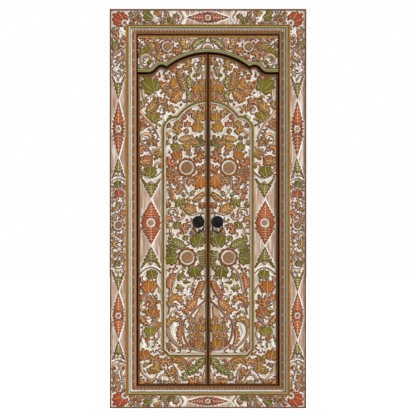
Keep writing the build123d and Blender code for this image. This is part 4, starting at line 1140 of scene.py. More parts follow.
# Shader helpers
class Graph:
    """A node tree of a material or the world, built by short calls."""

    def __init__(self, owner):
        owner.use_nodes = True
        self.owner = owner
        self.tree = owner.node_tree
        self.tree.nodes.clear()

    def node(self, kind, **values):
        n = self.tree.nodes.new(kind)
        for key, value in values.items():
            setattr(n, key, value)
        return n

    def link(self, value, socket):
        if isinstance(value, bpy.types.NodeSocket):
            self.tree.links.new(value, socket)
        elif isinstance(value, tuple) and len(value) == 3 and socket.type == "RGBA":
            socket.default_value = (*value, 1.0)
        else:
            socket.default_value = value

    def math(self, operation, a, b=0.0, clamp=False):
        n = self.node("ShaderNodeMath", operation=operation, use_clamp=clamp)
        self.link(a, n.inputs[0])
        self.link(b, n.inputs[1])
        return n.outputs[0]

    def times(self, first, *others):
        """The product of the values."""
        for value in others:
            first = self.math("MULTIPLY", first, value)
        return first

    def seen(self):
        """1 for the rays that see a surface straight, in a mirror or through glass."""
        rays = self.node("ShaderNodeLightPath").outputs
        seen = self.math("ADD", rays["Is Camera Ray"], rays["Is Glossy Ray"], True)
        return self.math("ADD", seen, rays["Is Transmission Ray"], True)


class Paint(Graph):
    """A material around one principled shader."""

    def __init__(self, name):
        super().__init__(bpy.data.materials.new(name))
        self.shader = self.node("ShaderNodeBsdfPrincipled")
        output = self.node("ShaderNodeOutputMaterial")
        self.tree.links.new(self.shader.outputs[0], output.inputs[0])
        self.coords = self.node("ShaderNodeTexCoord").outputs["Object"]

    def ramp(self, value, low, high, to_low=0.0, to_high=1.0):
        """Value mapped smoothly between two limits."""
        n = self.node("ShaderNodeMapRange", interpolation_type="SMOOTHSTEP")
        for socket, v in zip(n.inputs, (value, low, high, to_low, to_high)):
            self.link(v, socket)
        return n.outputs[0]

    def window(self, value, start, low, high, end):
        """1 where the value lies between low and high, fading out towards start and end."""
        return self.times(self.ramp(value, start, low), self.ramp(value, end, high))

    def mix(self, factor, a, b):
        n = self.node("ShaderNodeMix", data_type="RGBA")
        for index, value in ((0, factor), (6, a), (7, b)):
            self.link(value, n.inputs[index])
        return n.outputs[2]

    def attribute(self, name, colour=False):
        n = self.node("ShaderNodeAttribute", attribute_name=name)
        return n.outputs["Color"] if colour else n.outputs["Fac"]

    def noise(self, scale, detail=3.0, stretch=None, vector=None):
        n = self.node("ShaderNodeTexNoise")
        n.inputs["Scale"].default_value = scale
        n.inputs["Detail"].default_value = detail
        n.inputs["Roughness"].default_value = 0.55 if vector is None else 0.5
        vector = self.coords if vector is None else vector
        if stretch:
            m = self.node("ShaderNodeMapping")
            m.inputs["Scale"].default_value = stretch
            self.link(vector, m.inputs["Vector"])
            vector = m.outputs[0]
        self.link(vector, n.inputs["Vector"])
        return n.outputs["Fac"]

    def finish(self, colour, roughness, height, strength, distance, metallic=0.0):
        self.link(colour, self.shader.inputs["Base Color"])
        self.link(roughness, self.shader.inputs["Roughness"])
        self.shader.inputs["Metallic"].default_value = metallic
        self.shader.inputs["Specular IOR Level"].default_value = GLOSS
        bump = self.node("ShaderNodeBump")
        bump.inputs["Strength"].default_value = strength
        bump.inputs["Distance"].default_value = distance
        self.link(height, bump.inputs["Height"])
        self.tree.links.new(bump.outputs[0], self.shader.inputs["Normal"])
        return self.owner


# Materials
GLOSS = 0.14
CREAM = srgb(214, 208, 197)
CREAM_GREY = srgb(178, 171, 158)
WASH = srgb(190, 158, 136)
WASH_DARK = srgb(150, 108, 82)
RIM = srgb(240, 236, 227)
SHADOW = srgb(132, 98, 70)
DARK_EDGE = srgb(84, 46, 16)
# Brown of the painted shade along the motifs' walls
WALL_SHADE = srgb(96, 60, 32)
PALE_LINE = srgb(242, 226, 194)
WORN_PAINT = srgb(214, 176, 140)
WORN_EDGE = srgb(226, 206, 172)
RUST = srgb(70, 48, 34)


def carved_material():
    """Painted carving: tinted motifs with dark edges and pale rims on a cream or whitewashed ground, with
    painted shade at the edges and painted shadows on the ground, away from the light.
    """
    g = Paint("carved_paint")
    names = ("edge", "across", "style", "wash", "shade_strength", "shade_side", "vein", "plain")
    edge, across, style, wash, shade_strength, shade_side, vein, plain = [g.attribute(name) for name in names]
    tint = g.attribute("tint", True)
    fine, broad = g.noise(520.0, 4.0), g.noise(28.0)
    grain = g.noise(160.0, 4.0, (1.0, 1.0, 0.045))
    e = g.math("ADD", edge, g.times(g.math("SUBTRACT", g.noise(260.0), 0.5), 1.5))
    inside = g.ramp(e, 0.35, -0.35)

    cream = g.mix(g.ramp(broad, 0.35, 0.68), CREAM, CREAM_GREY)
    cream = g.mix(g.ramp(grain, 0.52, 0.72, 0.0, 0.35), cream, WASH)
    washed = g.mix(g.ramp(grain, 0.38, 0.62), WASH, WASH_DARK)
    patches = g.noise(90.0, 3.0, (1.0, 1.0, 0.08))
    washed = g.mix(g.ramp(patches, 0.50, 0.62, 0.0, 0.85), washed, CREAM)
    ground = g.mix(wash, cream, washed)
    ground = g.mix(g.times(g.ramp(e, 5.2, 3.4), 0.92), ground, RIM)
    shadow = g.times(g.ramp(e, 4.6, 0.8), g.ramp(shade_side, 0.25, 0.95), 0.62)
    ground = g.mix(shadow, ground, SHADOW)

    half_dark = g.mix(0.5, tint, DARK_EDGE)
    shade = g.mix(g.ramp(broad, 0.3, 0.7, 0.0, 0.5), tint, g.mix(0.55, tint, DARK_EDGE))
    leafy = g.math("MAXIMUM", g.ramp(style, 0.6, 0.4), g.window(style, 3.6, 3.8, 4.2, 4.4))
    # Painted shade in the hollows between a leaf's veins, in patches
    hollow = g.times(g.window(vein, 1.6, 3.0, 4.0, 7.0), leafy, g.ramp(broad, 0.3, 0.7, 0.25, 0.6))
    paint = g.mix(hollow, shade, half_dark)
    line = g.times(g.ramp(vein, 1.9, 0.7), leafy, g.ramp(fine, 0.3, 0.6, 0.45, 1.0))
    stems = g.window(style, 0.6, 0.8, 1.2, 1.4)
    flute = g.times(g.ramp(across, 0.42, 0.18), stems, g.ramp(fine, 0.3, 0.6, 0.4, 0.9))
    ribs = g.ramp(g.math("COSINE", g.times(across, RIBS)), -0.1, 0.6)
    ribbed = g.times(g.window(style, 5.6, 5.8, 6.2, 6.4), ribs, g.ramp(fine, 0.3, 0.6, 0.6, 1.0))
    pale = g.math("MAXIMUM", g.math("MAXIMUM", line, flute), ribbed)
    paint = g.mix(pale, paint, g.mix(0.7, tint, PALE_LINE))
    rings = g.ramp(g.math("COSINE", g.times(across, 15.0)), 0.2, -0.8)
    paint = g.mix(g.times(g.window(style, 2.4, 2.6, 3.4, 3.6), rings, 0.5), paint, DARK_EDGE)

    # A dark edge inside each motif, drawn all round and deepened as painted shade on the side away from the
    # light, and painted shade in the valleys between petals
    margin = g.times(g.ramp(e, -6.6, -2.0), g.ramp(shade_side, 0.0, 0.8, 0.6, 1.0))
    margin = g.times(margin, g.ramp(fine, 0.3, 0.55, 0.65, 1.0))
    petals = g.window(style, 4.6, 4.9, 5.2, 5.4)
    valley = g.times(g.ramp(across, 0.62, 0.98), g.ramp(fine, 0.3, 0.6, 0.4, 0.95), petals)
    paint = g.mix(g.times(g.math("MAXIMUM", margin, valley), shade_strength, 0.92), paint, DARK_EDGE)
    worn = g.times(g.ramp(fine, 0.60, 0.74), g.ramp(g.noise(60.0, 2.0), 0.45, 0.65), 0.7)
    colour = g.mix(inside, ground, g.mix(worn, paint, WORN_PAINT))
    # Painted shade along each motif's wall, all round and strongest on the side away from the light
    wall_shade = g.times(g.window(e, -1.2, -0.3, 0.8, 1.9), shade_strength, g.ramp(shade_side, 0.0, 0.6, 0.25, 0.8))
    colour = g.mix(wall_shade, colour, WALL_SHADE)

    strip = g.mix(g.ramp(grain, 0.35, 0.65, 0.0, 0.8), tint, half_dark)
    strip = g.mix(g.ramp(fine, 0.62, 0.76, 0.0, 0.5), strip, CREAM)
    colour = g.mix(plain, colour, strip)
    height = g.math("ADD", g.times(fine, 0.6), g.times(grain, 0.6))
    height = g.math("ADD", height, g.times(g.ramp(vein, 0.0, 1.6), leafy, inside, 0.8))
    return g.finish(colour, g.ramp(fine, 0.3, 0.7, 0.55, 0.82), height, 0.35, 0.0012)


def strip_material(name, stops, dashes=None):
    """Painted moulding: a colour from each start across its profile, with grain, wear and pale dashes."""
    g = Paint(name)
    across, length = g.attribute("across"), g.attribute("along")
    fine = g.noise(420.0, 4.0)
    v = g.node("ShaderNodeCombineXYZ")
    g.link(g.times(across, 0.55), v.inputs[0])
    g.link(g.times(length, 0.022), v.inputs[1])
    streak = g.noise(1.0, 4.0, vector=v.outputs[0])
    a = g.math("ADD", across, g.times(g.math("SUBTRACT", g.noise(200.0), 0.5), 1.3))
    colour = srgb(*stops[0][1:])
    for start, *tone in stops[1:]:
        colour = g.mix(g.ramp(a, start - 0.35, start + 0.35), colour, srgb(*tone))
    if dashes:
        low, high, pitch, share, *tone = dashes
        beat = g.math("FRACT", g.math("ADD", g.math("DIVIDE", length, pitch), g.times(streak, 0.25)))
        part = g.window(beat, share, share + 0.06, 0.96, 1.0)
        rope = g.window(a, low - 0.4, low + 0.4, high - 0.4, high + 0.4)
        colour = g.mix(g.times(part, rope), colour, srgb(*tone))
    colour = g.mix(g.ramp(streak, 0.42, 0.72, 0.0, 0.55), colour, g.mix(0.6, colour, DARK_EDGE))
    colour = g.mix(g.ramp(fine, 0.60, 0.76, 0.0, 0.45), colour, WORN_EDGE)
    height = g.math("ADD", g.times(fine, 0.5), streak)
    return g.finish(colour, g.ramp(fine, 0.3, 0.7, 0.5, 0.8), height, 0.35, 0.001)


def timber_material(name="timber", dark=False):
    """Plain brown timber with long grain, or the same painted almost black as shade, for the faces that show
    only behind the gaps.
    """
    g = Paint(name)
    grain = g.noise(90.0, 5.0, (1.0, 1.0, 0.05))
    rings = g.noise(22.0, 3.0, (1.0, 1.0, 0.04))
    fine = g.noise(700.0, 3.0, (1.0, 1.0, 0.06))
    colour = g.mix(g.ramp(grain, 0.35, 0.65), srgb(138, 96, 56), srgb(94, 60, 32))
    colour = g.mix(g.ramp(rings, 0.45, 0.62, 0.0, 0.6), colour, srgb(112, 72, 38))
    colour = g.mix(g.ramp(fine, 0.58, 0.70, 0.0, 0.5), colour, srgb(66, 40, 20))
    # Painted shade: timber that shows only through the gaps is darkened almost to black
    if dark:
        colour = g.mix(0.93, colour, srgb(22, 13, 7))
    height = g.math("ADD", grain, g.times(fine, 0.5))
    return g.finish(colour, g.ramp(grain, 0.3, 0.7, 0.55, 0.78), height, 0.3, 0.0009)


def iron_material(name, base, worn, rough_low, rough_high, metallic):
    """Forged iron with scale, rubbed brighter in places."""
    g = Paint(name)
    scale = g.noise(380.0, 4.0)
    colour = g.mix(g.ramp(g.noise(70.0), 0.45, 0.7), base, worn)
    colour = g.mix(g.ramp(scale, 0.62, 0.78, 0.0, 0.4), colour, RUST)
    rough = g.ramp(scale, 0.3, 0.7, rough_low, rough_high)
    return g.finish(colour, rough, scale, 0.5, 0.0006, metallic)


# Each stop is a start across the profile and the red, green and blue from there on
# The bead's paint: darker at both feet as painted shade and lighter along the crest as a painted highlight
BEAD_STOPS = (
    (0.0, 88, 66, 34),
    (2.2, 132, 116, 66),
    (6.0, 166, 154, 104),
    (10.0, 140, 126, 74),
    (14.4, 84, 62, 34),
    (16.6, 246, 244, 240),
)
# A lit copy of the bead's paint for the left bead, paler as painted light where it faces the key
LIT_BEAD_STOPS = (
    (0.0, 120, 92, 54),
    (2.2, 184, 162, 112),
    (6.0, 196, 186, 150),
    (10.0, 166, 160, 132),
    (14.4, 100, 84, 58),
    (16.6, 246, 244, 240),
)
# The sight strip's paint: its last, dark band is painted shade where the flat turns into the opening
SIGHT_STOPS = ((-1.0, 132, 76, 48), (7.2, 80, 46, 26), (8.6, 158, 118, 80), (18.8, 92, 58, 32))
# The rails' stops are a shaded copy of these, with the flat darker as painted shade
SHADED_RAIL_STOPS = SIGHT_STOPS[:2] + ((8.6, 122, 84, 50), (18.8, 70, 42, 22))
# The arch moulding's paint: its first, dark band is painted shade on the moulding's underside
ARCH_STOPS = (
    (0.0, 54, 32, 16),
    (2.6, 124, 120, 62),
    (5.6, 178, 172, 118),
    (8.6, 88, 82, 40),
    (13.2, 182, 176, 124),
    (16.4, 116, 106, 54),
    (19.2, 78, 46, 22),
)
# The panel border's paint: the dark green band by the crest is a painted shadow line
BORDER_STOPS = (
    (0.0, 176, 132, 88),
    (5.4, 92, 70, 32),
    (7.2, 96, 100, 36),
    (12.2, 50, 52, 20),
    (15.6, 168, 160, 130),
    (18.4, 226, 222, 212),
    (21.8, 152, 98, 52),
)
# The leaf's edge strips: dark as painted shade where they fall into the gap outside and down to the carving
# inside
EDGE_STOPS = ((-1.0, 34, 20, 9), (2.4, 116, 76, 32), (9.2, 60, 35, 15))

carved = carved_material()
timber = timber_material()
# Timber painted almost black as shade, for faces seen only through the gaps
dark_timber = timber_material("dark_timber", True)
black_iron = iron_material("black_iron", srgb(9, 8, 7), srgb(34, 30, 24), 0.5, 0.7, 0.0)
pivot_iron = iron_material("pivot_iron", srgb(96, 88, 80), srgb(140, 130, 118), 0.35, 0.6, 0.75)
bead_paint = strip_material("bead_paint", BEAD_STOPS)
pale_bead_paint = strip_material("pale_bead_paint", LIT_BEAD_STOPS)
LONG_DASHES = (0.6, 7.0, PEARLS_UPRIGHT["pitch"], 0.84, 206, 190, 164)
SHORT_DASHES = (0.6, 7.0, PEARLS_LEVEL["pitch"], 0.45, 186, 152, 112)
sight_paint = strip_material("sight_paint", SIGHT_STOPS, LONG_DASHES)
# The rails' sight paint is the shaded copy, darker as painted shade
sight_rail_paint = strip_material("sight_rail_paint", SHADED_RAIL_STOPS, SHORT_DASHES)
arch_paint = strip_material("arch_paint", ARCH_STOPS)
border_paint = strip_material("border_paint", BORDER_STOPS)
edge_paint = strip_material("edge_paint", EDGE_STOPS)


def dress(obj, material, body, slot, *replaced):
    """Gives a piece its material and its body, and hides the CAD nodes that it stands for; the slot argument
    is not used.
    """
    obj.data.materials.clear()
    obj.data.materials.append(material)
    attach(obj, body)
    if replaced:
        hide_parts(*replaced)
    return obj


# Washed grounds
def window(value, low, high, fade):
    """1 between low and high, fading in just inside of both."""
    return np.clip((value - low) / fade, 0.0, 1.0) * np.clip((high - value) / fade, 0.0, 1.0)


def strip_wash(x, z):
    """Whitewashed wood behind the lozenges of the leaves' strips."""
    start, low, high = STRIP_WASH
    return 0.85 * np.clip((np.abs(x) - start) / 4.0, 0.0, 1.0) * window(z, low, high, 12.0)


def jamb_wash(x, z):
    """Whitewashed wood behind the lozenges of the casing's sides."""
    return 0.9 * sum(window(z, low, high, 12.0) for low, high in JAMB_WASHES)


def rail_wash(x, z):
    """Whitewashed wood behind the lozenges of the casing's rails."""
    return 0.9 * np.clip((RAIL_WASH - np.abs(x)) / 8.0, 0.0, 1.0)


def knots(start, end, step, fixed):
    """Near even steps from start to end, with the fixed values among them."""
    stops = [start] + sorted(fixed) + [end]
    values = [start]
    for a, b in zip(stops, stops[1:]):
        n = max(1, round((b - a) / step))
        values += list(np.linspace(a, b, n + 1)[1:])
    return np.array(values)


# Casing boards
SIDES = ("left", "right", "top", "bottom")
UPRIGHT = SIDES[:2]


def casing_board(where):
    """A mitred casing board: a fillet at each edge and carving between them."""
    upright = where in UPRIGHT
    side = {"left": -1, "right": 1}.get(where, 0)
    width = BOARD_WIDTHS[where]
    outer = OUTER_FILLET
    inner = width - (INNER_FILLET_SIDE if upright else INNER_FILLET_RAIL)
    bevel = BOARD_BEVEL
    d = knots(0.0, width, CASING_STEP, (bevel, outer, outer + bevel, inner - bevel, inner, width - bevel))
    length = HEIGHT if upright else 2 * HALF_WIDTH
    v = np.linspace(0.0, 1.0, int(length / CASING_STEP) + 1)
    grid_d, grid_v = np.meshgrid(d, v, indexing="ij")
    post = BOARD_WIDTHS["left"]
    if upright:
        low = grid_d * (BOARD_WIDTHS["bottom"] / post)
        high = HEIGHT - grid_d * (BOARD_WIDTHS["top"] / post)
        x = side * (HALF_WIDTH - grid_d)
        z = low + (high - low) * grid_v
    else:
        half = HALF_WIDTH - grid_d * (post / width)
        x = -half + 2 * half * grid_v
        z = HEIGHT - grid_d if where == "top" else grid_d.copy()

    def plain(px, pz):
        """The fillets' height, and where the carving is."""
        if upright:
            dist = HALF_WIDTH - np.abs(px)
        else:
            dist = HEIGHT - pz if where == "top" else pz
        fillet = (dist < outer + 0.1) | (dist > inner - 0.1)
        edge = np.minimum(dist, width - dist)
        level = np.where(fillet, np.where(edge < 0.1, 0.86, 1.0), 0.0)
        carving = (dist > outer + 0.5 * bevel) & (dist < inner - 0.5 * bevel)
        return level, carving.astype(float)

    if upright:
        middle = -(HALF_WIDTH - outer + HALF_WIDTH - inner) / 2
        motifs = [m.moved(lambda a, b: (a + middle + JAMB_MIDDLE, b)) for m in JAMB]
        motifs = placed(motifs, side, 21, 0.0)
    else:
        span = inner - outer
        middle = HEIGHT - outer - span / 2 if where == "top" else outer + span / 2
        scale = (1 if where == "top" else -1) * (span / RAIL_SPAN)
        rail = [m.moved(lambda a, b: (a, middle + scale * b)) for m in RAIL]
        motifs = placed(rail, -1, 31, 0.0) + placed(rail, 1, 32, 0.0)
        turned = lozenge(0.0, 0.0, 0.44 * span, 116.0, "red")
        motifs += [m.moved(lambda a, b: (b, middle + a)) for m in turned]
    corner, low, high = CORNERS
    for way in (-1, 1):
        motifs += corner_layout(way * corner, high, way, 1) + corner_layout(way * corner, low, way, -1)
    wash = jamb_wash if upright else rail_wash
    depths = (BOARD_GROUND, BOARD_FRONT, BOARD_BACK)
    seed = SIDES.index(where) + 1
    board = carved_board(f"casing_{where}_carving", x, z, motifs, *depths, seed, CASING_STEP, wash, plain)
    return dress(board, carved, "frame", "carved_painted_wood", f"casing_{where}")


def rectangle(inset):
    """Half width, lowest and highest height of the boards' inner rectangle moved inwards."""
    return BOARD_INNER[0] - inset, BOARD_INNER[1] + inset, BOARD_INNER[2] - inset


def mitred_line(where, inset, n):
    """A line along one side of the rectangle, between its corners."""
    half, low, high = rectangle(inset)
    ends = {
        "left": ((-half, low), (-half, high)),
        "right": ((half, low), (half, high)),
        "top": ((-half, high), (half, high)),
        "bottom": ((-half, low), (half, low)),
    }[where]
    start, end = np.array(ends)
    return [tuple(start + (end - start) * i / n) for i in range(n + 1)]


def bead(where):
    """The half-round bead and the pale cove inside it."""
    profile = [(0.0, BOARD_BACK), (0.0, BEAD_FOOT)]
    for i in range(1, 13):
        a = math.pi * i / 12
        profile.append((BEAD_HALF - BEAD_HALF * math.cos(a), BEAD_FOOT - BEAD_RISE * math.sin(a)))
    cove = [(18.0, -34.0), (20.0, -30.6), (22.8, -27.6), (MOULDING_WIDTH, -26.0)]
    profile += cove + [(MOULDING_WIDTH, BOARD_BACK)]
    n = 220 if where in UPRIGHT else 110
    step = np.arange(n + 1)
    ys = []
    for d, y in profile:
        wave = 0.35 * np.sin(step * 0.83 + d) + 0.25 * np.sin(step * 0.31)
        worn = wave if y < BEAD_FOOT - 1.0 else 0.0
        ys.append(y + worn * 0.8 + (0.5 if y < BEAD_FOOT - BEAD_RISE + 1.0 else 0.0))
    lines = [mitred_line(where, d, n) for d, y in profile]
    obj = sweep(f"bead_{where}_painted", lines, ys, [d for d, y in profile])
    # The left bead takes the lit copy of the paint, paler as painted light
    paint = pale_bead_paint if where == "left" else bead_paint
    return dress(obj, paint, "frame", "painted_moulding", f"bead_{where}")


def sight_strip(where):
    """The small bead, cut into long pearls, and the flat that falls to the opening."""
    # The rails take the shaded copy of the sight paint, darker as painted shade
    pearls, paint = (PEARLS_UPRIGHT, sight_paint) if where in UPRIGHT else (PEARLS_LEVEL, sight_rail_paint)
    pitch = pearls["pitch"]
    s = np.linspace(0.0, pearls["length"], pearls["steps"] + 1) % pitch
    full = np.clip(np.minimum(s, pitch - s) / pearls["gap"], 0.0, 1.0) ** 0.6
    profile = [(0.0, BOARD_BACK, 0.0), (0.0, PEARL_FOOT, 0.0)]
    for i in range(1, 9):
        a = math.pi * i / 8
        profile.append((PEARL_HALF - PEARL_HALF * math.cos(a), PEARL_FOOT, PEARL_HALF * math.sin(a)))
    flat_part = [(7.6, -33.4), (14.0, -31.6), (20.6, -30.3), (21.0, -29.8), (21.0, BOARD_BACK)]
    profile += [(d, y, 0.0) for d, y in flat_part]
    lines = [mitred_line(where, MOULDING_WIDTH + d, pearls["steps"]) for d, y, r in profile]
    ys = [y - r * (0.25 + 0.75 * full) for d, y, r in profile]
    obj = sweep(f"sight_{where}_painted", lines, ys, [d for d, y, r in profile])
    return dress(obj, paint, "frame", "painted_moulding", f"sight_{where}")


def ground_grid(x0, x1, z0, z1, step=FILL_STEP):
    """The points of a carved ground where bare places are looked for."""
    return np.meshgrid(np.arange(x0, x1, step), np.arange(z0, z1, step), indexing="ij")


def full_jamb():
    """A side board's motifs, with the gaps between them filled."""
    layout = flat(jamb_layout())
    gx, gz = ground_grid(*CARVED_JAMB)
    wood = np.any([(gz > low) & (gz < high) for low, high in JAMB_LOZENGES], axis=0)
    return layout + fill(layout, gx, gz, ~wood, 6.0, 78)


def full_rail():
    """Half of a rail's motifs, with the gaps between them filled."""
    layout = flat(rail_layout())
    gx, gz = ground_grid(*CARVED_RAIL)
    return layout + fill(layout, gx, gz, gx < 0.0, 6.0, 79)


JAMB = full_jamb()
RAIL = full_rail()
for where in SIDES:
    casing_board(where)
    bead(where)
    sight_strip(where)


# Transom
def transom():
    """The carved board over the arch, its tongue plate and its moulding."""
    columns = np.linspace(-TRANSOM_EDGE, TRANSOM_EDGE, int(2 * TRANSOM_EDGE / TRANSOM_STEP) + 1)
    gx, gv = np.meshgrid(columns, np.linspace(0.0, 1.0, 66), indexing="ij")
    foot = arch_height(gx, -ARCH_HALF + 2.0)
    gz = foot + (TRANSOM_TOP - foot) * gv
    layout = full_transom()
    motifs = placed(layout, -1, 41) + placed(layout, 1, 42) + rosette()

    def plain(px, pz):
        """The strip's height, and where the carving is."""
        strip = pz > TRANSOM_TOP - TRANSOM_STRIP
        return np.where(strip, 0.96, 0.0), 1.0 - strip

    def unwashed(px, pz):
        """No whitewash anywhere."""
        return px * 0.0

    depths = (TRANSOM_GROUND, TRANSOM_FRONT, TRANSOM_BACK)
    board = carved_board("transom_carving", gx, gz, motifs, *depths, 6, TRANSOM_STEP, unwashed, plain)
    dress(board, carved, "frame", "carved_painted_wood", "transom_panel")
    line = both(arch_curve(-ARCH_HALF + 2.5, SIGHT[0]))
    upper = [(x, SIGHT[2]) for x, z in line]
    front, back = TONGUE
    plate = sweep("transom_plate", [line, upper, upper, line], [front, front, back, back], [0.0] * 4)
    # The tongue plate shows only through the gaps, so it takes the timber painted dark as shade
    dress(plate, dark_timber, "frame", "plain_timber")
    half = [(0.0, -31.6), (2.0, -33.4), (4.4, -34.0), (6.6, -32.6), (7.4, -27.4), (10.2, -27.0)]
    profile = both(half + [(ARCH_HALF, -25.8), (ARCH_HALF, -17.0)])
    lines = [both(arch_curve(d, TRANSOM_EDGE)) for d, y in profile]
    across = [d + ARCH_HALF for d, y in profile]
    moulding = sweep("arch_moulding_painted", lines, [y for d, y in profile], across)
    dress(moulding, arch_paint, "frame", "painted_moulding", "arch_moulding")


def full_transom():
    """Half of the transom's motifs, with the gaps between them filled."""
    layout = flat(transom_layout())
    gx, gz = ground_grid(*CARVED_TRANSOM)
    rosette_clear = np.hypot(gx, gz - ARCH_CROWN - ARCH_HALF) > ROSETTE_REACH
    free = (gz > arch_height(gx, ARCH_HALF + 6.0)) & rosette_clear
    return layout + fill(layout, gx, gz, free, 7.5, 80, 14.0)


def rosette():
    """The rosette that rises behind the arch's crown."""
    foot = ARCH_CROWN + ARCH_HALF - 2.0
    strokes = []
    for i in range(7):
        a = 180.0 * (i + 0.5) / 7
        strokes.append((*polar(0.0, foot, 24.0, a), *polar(0.0, foot, 33.0, a), 7.0, 8.0))
    out = [Motif(strokes, "brown")]
    line = [polar(0.0, foot, 27.0, 180.0 * i / 12) for i in range(13)]
    out.append(Motif(along(line, [3.2] * 13), "white", STEM))
    return out + ball(0.0, foot - 2.0, 23.0, "pink", DISC)


transom()


# Leaves
def leaf_layout():
    """All of a leaf's motifs, with the gaps between them filled."""
    layout = flat(strip_layout() + foot_layout() + panel_layout() + crown_layout())
    gx, gz = ground_grid(*CARVED_LEAF, LEAF_FILL_STEP)
    line = np.array(panel_curve(0.0))
    line = line[line[:, 1] > PANEL_FOOT + 1.0]
    line = line[np.argsort(line[:, 1])]
    reach = np.interp(gz, line[:, 1], line[:, 0], left=-60.0, right=-60.0)
    border = np.abs(np.abs(gx) - reach) < BORDER_CLEAR
    border |= (np.abs(gz - PANEL_FOOT) < BORDER_CLEAR) & (np.abs(gx) < PANEL_SIDE)
    crown = np.abs(np.hypot(gx, gz - PANEL_CROWN[1]) - PANEL_CROWN[2]) < BORDER_CLEAR
    border |= (gz > 1560.0) & crown
    edge, low, high = STRIP_LOZENGES
    spans = (gx < edge) & (gz > low) & (gz < high)
    pull = np.hypot(gx + PULL_X, gz - PULL_Z) < PULL_CLEAR
    roof = gz > arch_height(gx, FIELD_DROP - 20.0)
    outer, inner, foot = FILLED_LEAF
    free = ~(border | spans | pull | roof) & (gx > outer) & (gx < inner) & (gz > foot)
    return layout + fill(layout, gx, gz, free, 10.5, 77, 17.0)


def leaf_pieces(name, side):
    """One leaf: its plank, its carving, its edge strips and its panel border."""
    body = f"{name}_door"
    inner, outer = SLOT_HALF + LEAF_GAP, FIELD_OUTER - LEAF_GAP
    columns = np.linspace(inner, outer, int((outer - inner) / STEP) + 1)
    rows = np.linspace(0.0, 1.0, int((ARCH_CROWN + FIELD_DROP - FIELD_FOOT) / STEP) + 1)
    gx, gv = np.meshgrid(columns, rows, indexing="ij")
    top = arch_height(gx, FIELD_DROP - LEAF_GAP)
    gz = FIELD_FOOT + LEAF_GAP + (top - FIELD_FOOT - LEAF_GAP) * gv
    motifs = placed(LEAF_MOTIFS, side, 51) + ball(side * PULL_X, PULL_Z, PULL_SEAT, "dark", SEAT)
    depths = (FIELD_GROUND, FIELD_FRONT, LEAF_BACK)
    carving = carved_board(f"{name}_leaf_carving", side * gx, gz, motifs, *depths, 8 + side, STEP, strip_wash)
    dress(carving, carved, body, "carved_painted_wood", f"{name}_leaf")
    plank(name, side)

    margins = [(0.0, -6.0), (0.0, -17.0), (1.0, -18.0), (9.8, -18.0), (EDGE_STRIP, -16.8), (EDGE_STRIP, -8.0)]
    lines = [edge_loop(m, side) for m, y in margins]
    strips = sweep(f"{name}_leaf_edges", lines, [y for m, y in margins], [m for m, y in margins], closed=True)
    dress(strips, edge_paint, body, "painted_moulding")

    half = [(0.0, -18.0), (3.4, -17.9), (6.0, -16.8), (6.4, -15.0), (12.0, -15.0)]
    profile = both(half + [(BORDER_HALF, -14.0), (BORDER_HALF, -8.5)])
    lines = [sided(panel_curve(d), side) for d, y in profile]
    across = [d + BORDER_HALF for d, y in profile]
    border = sweep(f"{name}_panel_border", lines, [y for d, y in profile], across)
    dress(border, border_paint, body, "painted_moulding")


def edge_loop(margin, side):
    """The field's outline moved inwards by margin, as a closed line with matching points."""
    inner, outer = SLOT_HALF + margin, FIELD_OUTER - margin
    foot = FIELD_FOOT + margin * FOOT_STRIP / EDGE_STRIP
    top = arch_curve(FIELD_DROP - margin, outer, inner)
    sides = 24
    down = [(outer, top[-1][1] + (foot - top[-1][1]) * i / sides) for i in range(1, sides + 1)]
    low = [(outer + (inner - outer) * i / 8, foot) for i in range(1, 9)]
    up = [(inner, foot + (top[0][1] - foot) * i / sides) for i in range(1, sides)]
    return sided(top + down + low + up, side)


def plank(name, side):
    """The plain plank behind the carving: round at its heel and leaning at its meeting edge."""
    lean = [side * LEAN_SHIFT + LEAN_SLOPE * (y - LIP_BACK / 2) for y in (0.0, LIP_BACK)]
    plan = [(lean[0], 0.0)]
    for i in range(9):
        a = math.pi / 2 * i / 8
        plan.append((side * (AXIS_X + HEEL * math.sin(a)), HEEL * (1 - math.cos(a))))
    plan += [(side * (AXIS_X + HEEL), LIP_BACK - 1.0), (side * (AXIS_X + HEEL - 1.0), LIP_BACK)]
    plan.append((lean[1], LIP_BACK))
    heights = np.linspace(LIP_FOOT, LIP_TOP, 60)
    n = len(plan)
    verts, faces = [], []
    for z in heights:
        verts += [(x, y, z) for x, y in plan]
    for k in range(len(heights) - 1):
        for i in range(n):
            j = (i + 1) % n
            faces.append([k * n + i, k * n + j, (k + 1) * n + j, (k + 1) * n + i])
    faces.append(list(range(n))[::-1])
    faces.append([(len(heights) - 1) * n + i for i in range(n)])
    if side < 0:
        faces = [f[::-1] for f in faces]
    obj = make_mesh(f"{name}_leaf_plank", np.array(verts), faces)
    dress(obj, timber, f"{name}_door", "plain_timber")
    # Front and meeting-edge faces, seen only through the gaps, take the timber painted dark as shade
    obj.data.materials.append(dark_timber)
    for polygon in obj.data.polygons:
        if polygon.normal.y < -0.9 or abs(polygon.center.x) < 0.003:
            polygon.material_index = 1


LEAF_MOTIFS = leaf_layout()
leaf_pieces("left", -1)
leaf_pieces("right", 1)


